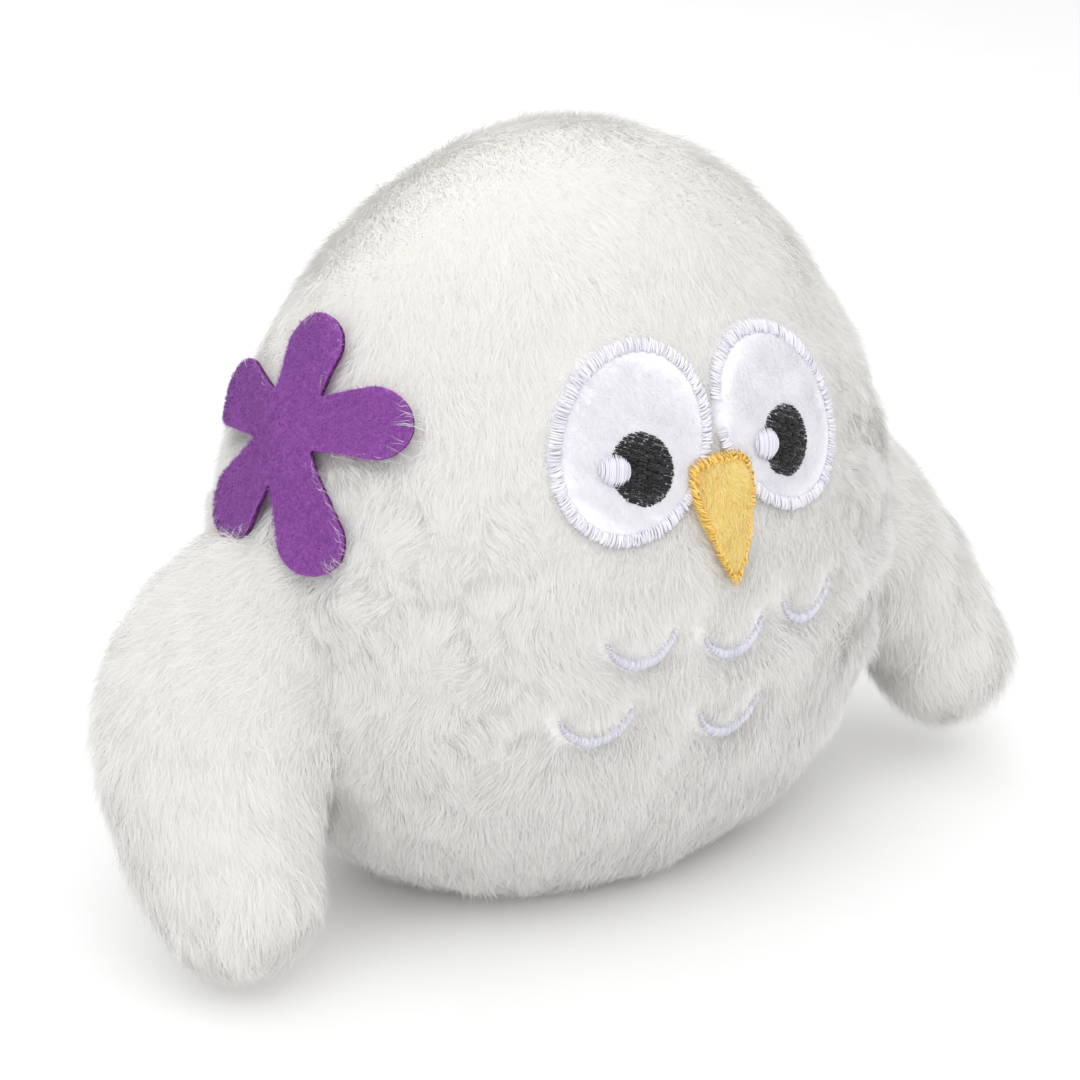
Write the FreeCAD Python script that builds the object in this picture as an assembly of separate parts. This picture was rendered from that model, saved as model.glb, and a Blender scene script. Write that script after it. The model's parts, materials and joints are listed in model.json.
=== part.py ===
import FreeCAD, Part
import math
import os
from FreeCAD import Vector

# Interactive plush owl: a stuffed egg-shaped body that stands on a flat base, with two hanging
# wings that a motor flaps through a gear train, a talking speaker, a belly press sensor and a
# battery box behind a hook-and-loop flap in the back.
# Millimetres.  +Z is up, the owl looks towards -Y, its left wing is on +X.
# The origin is the middle of the base, on the surface the toy stands on.

# ---------------------------------------------------------------- plush body
BODY_HALF_WIDTH = 81.2
BODY_HALF_DEPTH = 59.3
BODY_WIDEST_Z = 73.0
BODY_RISE = 95.5            # from the widest level up to the crown
BODY_DROP = 77.5            # from the widest level down to the tip of the egg, below the floor
UPPER_POWER = 1.90          # exponents of the two superellipse halves of the profile
LOWER_POWER = 2.36
LOWER_END_ANGLE = 74.0      # the profile stops here, just under the floor
PROFILE_STEPS = 9
SKIN = 1.5                  # fabric backing with the roots of the pile
SOFT_GAP = 0.3              # between one soft piece and the next
BASE_THICK = 1.5
SEAM_GAP = 0.05

# ---------------------------------------------------------------- face
FACE_X = 2.4
FACE_TILT = 3.1             # degrees, clockwise as seen from the front
FACE_TILT_Z = 105.0         # the level about which the face is tilted
EYE_Z = 114.4
EYE_HALF_WIDTH = 19.7
EYE_HALF_HEIGHT = 20.8
EYE_BORDER = 3.0
EYE_APART = 0.15            # half the room between the two borders
PUPIL_HALF_WIDTH = 7.2
PUPIL_HALF_HEIGHT = 7.6
PUPIL_Z = 109.4
PUPIL_SHIFT_X = 0.6
HIGHLIGHT_HALF_WIDTH = 3.5
HIGHLIGHT_HALF_HEIGHT = 3.1
HIGHLIGHT_SHIFT_X = -6.5
HIGHLIGHT_SHIFT_Z = 0.6
BEAK_X = 1.8
BEAK_TOP_Z = 109.8
BEAK_TIP_Z = 83.0
BEAK_PROFILE = [(0.84, 0.0), (1.0, 0.22), (0.72, 0.56), (0.14, 1.0)]    # shares of half width, length
BEAK_ARCH = 0.09            # rise of the top edge, as a share of the half width
BEAK_ROUND = 0.14           # drop of the rounded tip, as a share of the half width
BEAK_HALF_WIDTH = 8.6
BEAK_BORDER = 1.3
SCALLOPS = [(-20.6, 67.0), (3.2, 64.2), (26.0, 66.0), (-30.4, 50.2), (3.0, 45.0)]
SCALLOP_HALF_WIDTH = 8.2
SCALLOP_DEPTH = 9.0
SCALLOP_BAND = 2.6
PATCH_REACH = 90.0          # long enough to pass through the front of the body
PATCH_LAYER = (0.05, 1.1)   # from and to, over the skin
BORDER_LAYER = (0.05, 1.6)
PUPIL_LAYER = (1.15, 1.8)
HIGHLIGHT_LAYER = (1.85, 2.35)
BEAK_LAYER = (1.75, 2.8)
BEAK_BORDER_LAYER = (1.75, 3.2)
SCALLOP_LAYER = (0.05, 0.65)

# ---------------------------------------------------------------- flower
FLOWER_CENTRE = Vector(-71.5, -6.6, 117.3)
FLOWER_NORMAL = Vector(-0.891, -0.154, 0.425)
PETAL_ANGLES = [96.0, 20.0, -56.0, -121.0, 170.0]
PETAL_MIDDLE = 15.0         # from the flower's centre to the middle of a petal
PETAL_HALF_LENGTH = 12.0
PETAL_HALF_WIDTH = 7.6
FLOWER_LOW = 1.6            # height over the skin: the pile lies between
FLOWER_THICK = 1.8
FLOWER_DISC_R = 9.0
FLOWER_REACH = 30.0         # how far the cutting prism runs to each side of the flower's plane

# ---------------------------------------------------------------- wings
WING_ROOT = Vector(65.1, -13.8, 75.4)
WING_BEND = Vector(95.9, 10.6, 64.1)
WING_TIP_RIGHT = Vector(100.6, -22.3, 22.6)     # as on the left side
WING_TIP_LEFT = Vector(100.4, -22.3, 27.6)      # the left wing is a little shorter
WING_TIP_REACHES = (0.55, 0.85, 0.97)           # sections of the rounded end
WING_HALF_CHORDS = (24.1, 32.5, 15.5)
WING_HALF_THICKS = (10.4, 15.5, 13.0)
WING_CHORD_ANGLE = 36.6     # of the chord, from the side towards the back
WING_STATIONS = 6
WING_BODY_GAP = 0.8
PIVOT_X = 54.0
PIVOT_Z = 90.0
ROOT_CLEAR_RADIUS = 34.0    # no wing fabric nearer the pivot than this
FLAP_UP = 28.0              # degrees each wing lifts

# ---------------------------------------------------------------- gears
GEAR_Y = -10.0              # front of the wing gears
GEAR_WIDTH = 4.0
WING_MODULE = 1.0
WING_TEETH = 36
SECTOR_HALF_ANGLE = 56.0
IDLER_X = 18.0
DRIVE_TEETH = 12
DRIVE_CENTRE = (24.2, 66.8)
STAGE_WIDTH = 3.0
SECOND_MODULE = 0.6
SECOND_TEETH = 40
SECOND_PINION_TEETH = 10
SECOND_CENTRE = (15.2, 54.8)
SECOND_Y = -5.0
MOTOR_MODULE = 0.5
THIRD_TEETH = 36
MOTOR_TEETH = 9
MOTOR_CENTRE = (5.45, 49.2)
THIRD_Y = -1.0
PRESSURE_ANGLE = math.radians(20.0)
ADDENDUM = 0.85
DEDENDUM = 1.15
BACKLASH = 0.14             # of the module, shared by the two flanks
PIVOT_PIN_R = 1.5
LAY_PIN_R = 1.0
FLANK_STEPS = 3
IDLER_HOLES = 6             # round lightening holes in an idler
IDLER_HOLE_RING = 10.0
IDLER_HOLE_R = 2.6
LEVER_HUB_R = 6.5
STITCH_HOLE_R = 2.0
DRIVE_HUB_R = 4.0
SECOND_HUB_R = 2.2
HUB_REAR_Y = 2.3            # where the hubs end, just before the motor's plate
RUNNING = 0.05              # radial clearance of a gear on its pin
PRESS = 0.01                # radial clearance of a pin in its boss

# ---------------------------------------------------------------- mechanism case
WALL = 2.0
CASE_FRONT_Y = -14.0
PARTING_Y = 2.0
UPPER_HALF_WIDTH = 62.0
UPPER_LOW_Z = 68.0
UPPER_HIGH_Z = 114.0
LOWER_HALF_WIDTH = 40.0
LOWER_LOW_Z = 26.0
LOWER_REAR_Y = 32.5
HOUSING_LEFT_X = -22.0
HOUSING_RIGHT_X = 30.0
HOUSING_REAR_Y = 46.5
HOUSING_LOW_Z = 33.0
HOUSING_HIGH_Z = 89.5
CASE_CORNER = 4.0
CASE_ROOM = 0.5             # between the case and the stuffing
SCREW_PLACES = [(-36.0, 30.0), (36.0, 30.0), (-57.0, 109.0), (57.0, 109.0), (0.0, 108.0)]
SCREW_R = 1.2
SCREW_HEAD_R = 2.4
SCREW_HEAD_HEIGHT = 1.6
BOSS_R = 3.2

# ---------------------------------------------------------------- batteries and door
CELL_R = 5.25
CELL_LENGTH = 44.5
CELL_PITCH = 12.2
CELL_LOW_Z = 38.0
CELL_Y = 39.9
BAY_HALF_WIDTH = 18.6
BAY_FRONT_Y = 34.2
BAY_LOW_Z = 35.5
BAY_HIGH_Z = 84.0
DOOR_HALF_WIDTH = 20.6
DOOR_LOW_Z = 36.4
DOOR_HIGH_Z = 88.6
DOOR_THICK = 1.9
DOOR_PIN_Y = 48.6
DOOR_PIN_Z = 34.2
DOOR_PIN_R = 0.9
KNUCKLE_R = 1.9
KNUCKLE_HALF = 8.0
EAR_END = 14.0
DOOR_SCREW_Z = 86.5

# ---------------------------------------------------------------- back flap
FLAP_HALF_WIDTH = 31.0
FLAP_LOW_Z = 30.0
FLAP_HIGH_Z = 101.0
FLAP_GAP = 0.4
FLAP_CORNER = 10.0
STRIP_HALF_WIDTH = 24.0
STRIP_LOW_Z = 90.5
STRIP_HIGH_Z = 107.0
FLAP_FRONT_Y = 20.0         # the flap's outline is drawn on this plane
LOOP_LAYER = (-2.3, -1.51)  # from and to, over the skin
HOOK_LAYER = (-3.9, -2.7)
HOOK_ROOT_LAYER = (-3.0, -1.52)

# ---------------------------------------------------------------- belly press sensor
SENSOR_X = 1.0
SENSOR_Z = 54.0
SENSOR_FRONT_Y = -53.4
SENSOR_DEPTH = 7.0
SENSOR_R = 12.0
BUTTON_R = 7.0
BUTTON_PROUD = 1.8

FAR = 150.0                 # beyond every piece

PARTS = "parts"
os.makedirs(PARTS, exist_ok=True)


def write(name, shape):
    """Save one node, and say how large and how sound it is."""
    shape = shape.removeSplitter() if name.startswith("case") else shape
    bounds = shape.optimalBoundingBox(False, False)
    print("%-22s valid %s solids %2d volume %9.1f  x %.1f..%.1f y %.1f..%.1f z %.1f..%.1f" % (
        name, shape.isValid(), len(shape.Solids), shape.Volume,
        bounds.XMin, bounds.XMax, bounds.YMin, bounds.YMax, bounds.ZMin, bounds.ZMax))
    solids = shape.Solids
    saved = solids[0] if len(solids) == 1 else Part.makeCompound(solids)
    saved.exportStep(os.path.join(PARTS, name + ".step"))


# ---------------------------------------------------------------- basic shapes
def box(x0, x1, y0, y1, z0, z1):
    return Part.makeBox(x1 - x0, y1 - y0, z1 - z0, Vector(x0, y0, z0))


def rounded_box(x0, x1, y0, y1, z0, z1, radius):
    """A box whose four edges along Y are rounded."""
    block = box(x0, x1, y0, y1, z0, z1)
    edges = [e for e in block.Edges if abs(e.tangentAt(e.FirstParameter).y) > 0.99]
    return block.makeFillet(radius, edges)


def rod_y(centre, radius, y0, y1):
    """A round bar along Y through (x, z) = centre."""
    return Part.makeCylinder(radius, y1 - y0, Vector(centre[0], y0, centre[1]), Vector(0, 1, 0))


def rod_x(y, z, radius, x0, x1):
    return Part.makeCylinder(radius, x1 - x0, Vector(x0, y, z), Vector(1, 0, 0))


def tube_y(centre, outer, inner, y0, y1):
    return rod_y(centre, outer, y0, y1).cut(rod_y(centre, inner, y0 - 1, y1 + 1))


def polygon_y(points, y0, y1):
    """A prism along Y with straight sides through the (x, z) points."""
    corners = [Vector(x, y0, z) for x, z in points]
    wire = Part.makePolygon(corners + corners[:1])
    return Part.Face(wire).extrude(Vector(0, y1 - y0, 0))


def capsule(start, end, radius, y0, y1):
    """A bar along Y whose section is a slot from start to end."""
    along = Vector(end[0] - start[0], 0, end[1] - start[1])
    across = Vector(-along.z, 0, along.x).normalize() * radius
    first = Vector(start[0], 0, start[1])
    second = Vector(end[0], 0, end[1])
    corners = [first + across, second + across, second - across, first - across]
    middle = polygon_y([(c.x, c.z) for c in corners], y0, y1)
    return middle.fuse([rod_y(start, radius, y0, y1), rod_y(end, radius, y0, y1)])


def join(shapes):
    return shapes[0].fuse(shapes[1:]) if len(shapes) > 1 else shapes[0]


def mirrored(shape):
    return shape.mirror(Vector(0, 0, 0), Vector(1, 0, 0))


# ---------------------------------------------------------------- the egg
def egg_profile(offset):
    """Points of the body's half outline in XZ, crown first."""
    points = []
    for step in range(PROFILE_STEPS + 1):
        angle = math.radians(90.0 - 90.0 * step / PROFILE_STEPS)
        power = 2.0 / UPPER_POWER
        x = (BODY_HALF_WIDTH + offset) * math.cos(angle) ** power if step else 0.0
        z = BODY_WIDEST_Z + (BODY_RISE + offset) * math.sin(angle) ** power
        points.append(Vector(x, 0, z))
    for step in range(1, PROFILE_STEPS + 1):
        angle = math.radians(LOWER_END_ANGLE * step / PROFILE_STEPS)
        power = 2.0 / LOWER_POWER
        x = (BODY_HALF_WIDTH + offset) * math.cos(angle) ** power
        z = BODY_WIDEST_Z - (BODY_DROP + offset) * math.sin(angle) ** power
        points.append(Vector(x, 0, z))
    return points


EGGS = {}


def egg(offset):
    """The body's outer form, grown or shrunk: a turned egg squeezed from front to back."""
    if offset not in EGGS:
        points = egg_profile(offset)
        curve = Part.BSplineCurve()
        curve.interpolate(points)
        bottom = Vector(0, 0, points[-1].z)
        sides = [curve.toShape(), Part.makeLine(points[-1], bottom), Part.makeLine(bottom, points[0])]
        turned = Part.Face(Part.Wire(sides)).revolve(Vector(0, 0, 0), Vector(0, 0, 1), 360)
        squeeze = FreeCAD.Matrix()
        squeeze.scale(1, (BODY_HALF_DEPTH + offset) / (BODY_HALF_WIDTH + offset), 1)
        EGGS[offset] = turned.transformGeometry(squeeze)
    return EGGS[offset]


def layer(cutter, low, high):
    """The part of the layer from low to high over the skin that lies inside the cutter."""
    return cutter.common(egg(high)).cut(egg(low))


def half_space(y0, y1, z0):
    return box(-FAR, FAR, y0, y1, z0, 2 * FAR)


# ---------------------------------------------------------------- outlines on the face
def ellipse_wire(x, z, half_width, half_height):
    major = max(half_width, half_height)
    minor = min(half_width, half_height)
    ring = Part.Ellipse(Vector(0, 0, 0), major, minor).toShape()
    ring.rotate(Vector(0, 0, 0), Vector(1, 0, 0), 90)
    if half_height > half_width:
        ring.rotate(Vector(0, 0, 0), Vector(0, 1, 0), 90)
    ring.translate(Vector(x, 0, z))
    return Part.Wire([ring])


def front_prism(wire):
    """Everything in front of the middle plane inside an outline drawn on it."""
    return Part.Face(wire).extrude(Vector(0, -PATCH_REACH, 0))


def ellipse_prism(x, z, half_width, half_height):
    return front_prism(ellipse_wire(x, z, half_width, half_height))


def beak_prism(inset):
    """A shield with a gently arched top that narrows to the tip."""
    wide = BEAK_HALF_WIDTH - inset
    top = BEAK_TOP_Z - inset
    tip = BEAK_TIP_Z + 2.2 * inset
    length = top - tip

    def place(sign, point):
        return Vector(BEAK_X + sign * point[0] * wide, 0, top - point[1] * length)

    edges = []
    for sign in (-1, 1):
        curve = Part.BSplineCurve()
        curve.interpolate([place(sign, point) for point in BEAK_PROFILE])
        edges.append(curve.toShape())
    first, last = BEAK_PROFILE[0], BEAK_PROFILE[-1]
    crest = Vector(BEAK_X, 0, top + BEAK_ARCH * wide)
    edges.append(Part.Arc(place(-1, first), crest, place(1, first)).toShape())
    end = Vector(BEAK_X, 0, tip - BEAK_ROUND * wide)
    edges.append(Part.Arc(place(-1, last), end, place(1, last)).toShape())
    return front_prism(Part.Wire(Part.__sortEdges__(edges)))


def tilted(prism):
    """The same prism with the slight tilt of the whole face."""
    prism.rotate(Vector(FACE_X, 0, FACE_TILT_Z), Vector(0, 1, 0), FACE_TILT)
    return prism


def scallop_prism(x, bottom):
    """A crescent, thick in the middle, that hangs like a feather's edge."""
    middle = bottom + SCALLOP_DEPTH
    outer = ellipse_prism(x, middle, SCALLOP_HALF_WIDTH, SCALLOP_DEPTH)
    inner = ellipse_prism(x, middle + SCALLOP_BAND, SCALLOP_HALF_WIDTH, SCALLOP_DEPTH)
    reach = 2 * SCALLOP_HALF_WIDTH
    lower = box(x - reach, x + reach, -PATCH_REACH, 0, bottom - reach, middle - 0.5)
    return outer.cut(inner).common(lower)


# ---------------------------------------------------------------- gears
def involute(angle):
    return math.tan(angle) - angle


def gear_outline(module, teeth, phase):
    """(x, z) points of a spur gear about its axis, one tooth centred on phase degrees."""
    pitch_r = module * teeth / 2.0
    base_r = pitch_r * math.cos(PRESSURE_ANGLE)
    tip_r = pitch_r + ADDENDUM * module
    root_r = pitch_r - DEDENDUM * module
    half_at_pitch = math.pi / (2 * teeth) - BACKLASH * module / (2 * pitch_r)
    low_r = max(base_r, root_r)
    radii = [low_r + (tip_r - low_r) * k / FLANK_STEPS for k in range(FLANK_STEPS + 1)]
    flank = []
    for radius in radii:
        turn = involute(PRESSURE_ANGLE) - involute(math.acos(min(1.0, base_r / radius)))
        flank.append((radius, half_at_pitch + turn))
    if root_r < base_r:
        flank.insert(0, (root_r, flank[0][1]))
    points = []
    for tooth in range(teeth):
        centre = math.radians(phase) + 2 * math.pi * tooth / teeth
        for radius, half in flank:
            points.append((radius, centre - half))
        for radius, half in reversed(flank):
            points.append((radius, centre + half))
    return [(r * math.cos(a), r * math.sin(a)) for r, a in points]


def gear(module, teeth, phase, centre, y0, width):
    points = [(centre[0] + x, centre[1] + z) for x, z in gear_outline(module, teeth, phase)]
    return polygon_y(points, y0, y0 + width)


def direction(start, end):
    return math.degrees(math.atan2(end[1] - start[1], end[0] - start[0]))


def mating_phase(first, first_teeth, first_phase, second, second_teeth):
    """The phase that puts a gap of the second gear over a tooth of the first."""
    line = direction(first, second)
    lead = (first_phase - line) * first_teeth / 360.0
    return line + 180.0 + (0.5 - lead) * 360.0 / second_teeth


IDLER_LEFT = (IDLER_X, PIVOT_Z)
IDLER_RIGHT = (-IDLER_X, PIVOT_Z)
WING_LEFT = (PIVOT_X, PIVOT_Z)
WING_RIGHT = (-PIVOT_X, PIVOT_Z)
IDLER_LEFT_PHASE = 0.0
IDLER_RIGHT_PHASE = mating_phase(IDLER_LEFT, WING_TEETH, IDLER_LEFT_PHASE, IDLER_RIGHT, WING_TEETH)
WING_LEFT_PHASE = mating_phase(IDLER_LEFT, WING_TEETH, IDLER_LEFT_PHASE, WING_LEFT, WING_TEETH)
WING_RIGHT_PHASE = mating_phase(IDLER_RIGHT, WING_TEETH, IDLER_RIGHT_PHASE, WING_RIGHT, WING_TEETH)
DRIVE_PHASE = mating_phase(IDLER_LEFT, WING_TEETH, IDLER_LEFT_PHASE, DRIVE_CENTRE, DRIVE_TEETH)
SECOND_PHASE = mating_phase(DRIVE_CENTRE, SECOND_TEETH, 0.0, SECOND_CENTRE, SECOND_PINION_TEETH)
MOTOR_PHASE = mating_phase(SECOND_CENTRE, THIRD_TEETH, 0.0, MOTOR_CENTRE, MOTOR_TEETH)


def idler(centre, phase):
    """A plain gear with a bore and a ring of lightening holes."""
    body = gear(WING_MODULE, WING_TEETH, phase, centre, GEAR_Y, GEAR_WIDTH)
    cutters = [rod_y(centre, PIVOT_PIN_R + RUNNING, GEAR_Y - 1, GEAR_Y + GEAR_WIDTH + 1)]
    for k in range(IDLER_HOLES):
        turn = 2 * math.pi * (k + 0.5) / IDLER_HOLES
        place = (centre[0] + IDLER_HOLE_RING * math.cos(turn), centre[1] + IDLER_HOLE_RING * math.sin(turn))
        cutters.append(rod_y(place, IDLER_HOLE_R, GEAR_Y - 1, GEAR_Y + GEAR_WIDTH + 1))
    return body.cut(join(cutters))


def drive_gear():
    """The last reduction: a large gear and the small one that turns the idlers."""
    small = gear(WING_MODULE, DRIVE_TEETH, DRIVE_PHASE, DRIVE_CENTRE, GEAR_Y, GEAR_WIDTH)
    large = gear(SECOND_MODULE, SECOND_TEETH, 0.0, DRIVE_CENTRE, SECOND_Y, STAGE_WIDTH)
    hub = rod_y(DRIVE_CENTRE, DRIVE_HUB_R, GEAR_Y + GEAR_WIDTH - 0.5, HUB_REAR_Y)
    bore = rod_y(DRIVE_CENTRE, LAY_PIN_R + RUNNING, GEAR_Y - 1, HUB_REAR_Y + 1)
    return join([small, large, hub]).cut(bore)


def second_gear():
    small = gear(SECOND_MODULE, SECOND_PINION_TEETH, SECOND_PHASE, SECOND_CENTRE, SECOND_Y,
                 STAGE_WIDTH)
    large = gear(MOTOR_MODULE, THIRD_TEETH, 0.0, SECOND_CENTRE, THIRD_Y, STAGE_WIDTH)
    hub = rod_y(SECOND_CENTRE, SECOND_HUB_R, SECOND_Y + STAGE_WIDTH - 0.5, HUB_REAR_Y)
    bore = rod_y(SECOND_CENTRE, LAY_PIN_R + RUNNING, SECOND_Y - 1, HUB_REAR_Y + 1)
    return join([small, large, hub]).cut(bore)


# ---------------------------------------------------------------- wings, made for the left side
ELBOW = (86.0, 77.0)
PADDLE_TOP = (89.5, 60.0)
PADDLE_END = (92.0, 44.0)
ARM_HALF = 4.0
PADDLE_HALF = 7.0
LEVER_ROOM_LOW = -44.0      # degrees, of the wedge that the arm sweeps
LEVER_ROOM_HIGH = 26.0
LEVER_ROOM_REACH = 42.0
LEVER_ROOM_HUB = 13.0
LEVER_ROOM_GAP = 1.5        # to each side of the arm
LEVER_ROOM_STEPS = 6


def bend(values, t):
    """A quadratic curve through the three weights."""
    first, middle, last = values
    return first * (1 - t) ** 2 + middle * (2 * t * (1 - t)) + last * t ** 2


def wing_section(tip, t, reach, inset):
    """An elliptical section of a wing; reach runs past its end, as a share of its thickness."""
    centre = bend((WING_ROOT, WING_BEND, tip), t)
    along = ((WING_BEND - WING_ROOT) * (1 - t) + (tip - WING_BEND) * t).normalize()
    half_chord = bend(WING_HALF_CHORDS, t) - inset
    half_thick = bend(WING_HALF_THICKS, t) - inset
    turn = math.radians(WING_CHORD_ANGLE)
    chord = Vector(math.cos(turn), math.sin(turn), 0)
    chord = (chord - along * chord.dot(along)).normalize()
    normal = along.cross(chord)
    shrink = math.sqrt(1 - reach * reach)
    centre = centre + along * (reach * half_thick)
    ring = Part.Ellipse(centre + chord * (half_chord * shrink),
                        centre + normal * (half_thick * shrink), centre)
    return Part.Wire([ring.toShape()])


def wing_form(tip, inset):
    """The whole wing as a loft, with a rounded tip."""
    stations = [(k / (WING_STATIONS - 1), 0.0) for k in range(WING_STATIONS)]
    stations += [(1.0, reach) for reach in WING_TIP_REACHES]
    return Part.makeLoft([wing_section(tip, t, reach, inset) for t, reach in stations], True, False)


def wing_solid(tip, inset):
    """The wing outside the body and outside the space that the lever sweeps."""
    pivot_room = rod_y(WING_LEFT, ROOT_CLEAR_RADIUS + inset, -FAR, FAR)
    return wing_form(tip, inset).cut(egg(WING_BODY_GAP + inset)).cut(pivot_room)


def largest(shape):
    return max(shape.Solids, key=lambda solid: solid.Volume)


def lever_arm(extra):
    """The bent arm and its paddle, grown by extra."""
    y0 = GEAR_Y - extra
    y1 = GEAR_Y + GEAR_WIDTH + extra
    return join([
        capsule(WING_LEFT, ELBOW, ARM_HALF + extra, y0, y1),
        capsule(ELBOW, PADDLE_TOP, ARM_HALF + extra, y0, y1),
        capsule(PADDLE_TOP, PADDLE_END, PADDLE_HALF + extra, y0, y1)])


def sector(centre, phase, facing):
    """The toothed part of a lever: a slice of a gear about the facing direction."""
    wheel = gear(WING_MODULE, WING_TEETH, phase, centre, GEAR_Y, GEAR_WIDTH)
    reach = 2 * WING_MODULE * WING_TEETH
    points = [centre]
    for k in range(-2, 3):
        turn = math.radians(facing + SECTOR_HALF_ANGLE * k / 2.0)
        points.append((centre[0] + reach * math.cos(turn), centre[1] + reach * math.sin(turn)))
    return wheel.common(polygon_y(points, GEAR_Y - 1, GEAR_Y + GEAR_WIDTH + 1))


def lever(side):
    """Wing lever: toothed sector, hub, bent arm and a paddle with two stitching holes."""
    centre = (side * PIVOT_X, PIVOT_Z)
    phase = WING_LEFT_PHASE if side > 0 else WING_RIGHT_PHASE
    arm = lever_arm(0.0)
    for place in (PADDLE_TOP, PADDLE_END):
        arm = arm.cut(rod_y(place, STITCH_HOLE_R, GEAR_Y - 1, GEAR_Y + GEAR_WIDTH + 1))
    arm = arm if side > 0 else mirrored(arm)
    hub = rod_y(centre, LEVER_HUB_R, GEAR_Y, GEAR_Y + GEAR_WIDTH)
    bore = rod_y(centre, PIVOT_PIN_R + RUNNING, GEAR_Y - 1, GEAR_Y + GEAR_WIDTH + 1)
    teeth = sector(centre, phase, 180.0 if side > 0 else 0.0)
    return join([arm, hub, teeth]).cut(bore)


def lever_room():
    """The space the left arm sweeps through the body's side."""
    front = GEAR_Y - LEVER_ROOM_GAP
    rear = GEAR_Y + GEAR_WIDTH + LEVER_ROOM_GAP
    points = [WING_LEFT]
    for k in range(LEVER_ROOM_STEPS + 1):
        share = k / LEVER_ROOM_STEPS
        turn = math.radians(LEVER_ROOM_LOW + (LEVER_ROOM_HIGH - LEVER_ROOM_LOW) * share)
        points.append((PIVOT_X + LEVER_ROOM_REACH * math.cos(turn),
                       PIVOT_Z + LEVER_ROOM_REACH * math.sin(turn)))
    return polygon_y(points, front, rear).fuse(rod_y(WING_LEFT, LEVER_ROOM_HUB, front, rear))


# ---------------------------------------------------------------- leads
def lead(points, radius):
    """A round wire along straight runs joined by tangent arcs."""
    places = [Vector(*p) for p in points]
    edges = []
    start = places[0]
    for before, corner, after in zip(places, places[1:], places[2:]):
        back = (before - corner)
        ahead = (after - corner)
        reach = 0.45 * min(back.Length, ahead.Length)
        back.normalize()
        ahead.normalize()
        turn = math.pi - back.getAngle(ahead)
        first = corner + back * reach
        last = corner + ahead * reach
        inward = (back + ahead).normalize()
        bend_r = reach / math.tan(turn / 2)
        middle = corner + inward * (math.hypot(bend_r, reach) - bend_r)
        edges.append(Part.makeLine(start, first))
        edges.append(Part.Arc(first, middle, last).toShape())
        start = last
    edges.append(Part.makeLine(start, places[-1]))
    path = Part.Wire(edges)
    ring = Part.makeCircle(radius, places[0], places[1] - places[0])
    return path.makePipeShell([Part.Wire([ring])], True, False)


LEAD_R = 0.6
SENSOR_LEAD = [(1.0, -46.2, 54.0), (1.0, -38.0, 54.0), (-12.0, -27.0, 57.0), (-27.0, -22.0, 61.0),
               (-34.0, -13.0, 61.0), (-34.0, -4.0, 61.0), (-33.0, 6.8, 60.0)]


def lead_pair(points, apart):
    """Two parallel leads, side by side along X or Z."""
    shift = Vector(*apart) * 0.5
    pair = []
    for sign in (-1, 1):
        moved = [(x + sign * shift.x, y + sign * shift.y, z + sign * shift.z) for x, y, z in points]
        pair.append(lead(moved, LEAD_R))
    return Part.makeCompound(pair)


# ---------------------------------------------------------------- coil springs
COIL_STEPS = 10             # corners of the wire's route in one turn


def coil(centre, axis, radius, wire_r, length, pitch):
    """A spring of round wire that winds along axis from centre."""
    ahead = Vector(*axis)
    side = Vector(ahead.y, ahead.z, ahead.x)
    other = ahead.cross(side)
    steps = int(round(COIL_STEPS * length / pitch))
    points = []
    for k in range(steps + 1):
        turn = 2 * math.pi * k / COIL_STEPS
        spot = Vector(*centre) + ahead * (pitch * k / COIL_STEPS)
        spot = spot + (side * math.cos(turn) + other * math.sin(turn)) * radius
        points.append((spot.x, spot.y, spot.z))
    return lead(points, wire_r)


# ---------------------------------------------------------------- plush body pieces
def strip_zone(low_z, high_z):
    """The part of the back that a closure strip covers."""
    return box(-STRIP_HALF_WIDTH, STRIP_HALF_WIDTH, FLAP_FRONT_Y, FAR, low_z, high_z)


def build_body():
    shell = egg(0.0).cut(egg(-SKIN))
    room = lever_room()
    rooms = [room, mirrored(room)]
    front = shell.common(half_space(-FAR, -SEAM_GAP, BASE_THICK)).cut(rooms)
    write("front_skin", front)

    opening = rounded_box(-FLAP_HALF_WIDTH, FLAP_HALF_WIDTH, FLAP_FRONT_Y, FAR, FLAP_LOW_Z, FLAP_HIGH_Z,
                          FLAP_CORNER)
    back = shell.common(half_space(SEAM_GAP, FAR, BASE_THICK)).cut(opening)
    write("back_skin", back)
    write("base_panel", egg(0.0).common(box(-FAR, FAR, -FAR, FAR, 0, BASE_THICK - SEAM_GAP)))

    panel = rounded_box(-FLAP_HALF_WIDTH + FLAP_GAP, FLAP_HALF_WIDTH - FLAP_GAP, FLAP_FRONT_Y, FAR,
                        FLAP_LOW_Z + FLAP_GAP, FLAP_HIGH_Z - FLAP_GAP, FLAP_CORNER - FLAP_GAP)
    write("access_flap", layer(panel, -SKIN, 0.0))
    loop_zone = strip_zone(STRIP_LOW_Z, FLAP_HIGH_Z - 2)
    write("closure_loop_strip", layer(loop_zone, *LOOP_LAYER))
    hook_zone = strip_zone(STRIP_LOW_Z, STRIP_HIGH_Z)
    root_zone = strip_zone(FLAP_HIGH_Z + 2 * FLAP_GAP, STRIP_HIGH_Z)
    hook = layer(hook_zone, *HOOK_LAYER).fuse(layer(root_zone, *HOOK_ROOT_LAYER))
    write("closure_hook_strip", hook)


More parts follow.
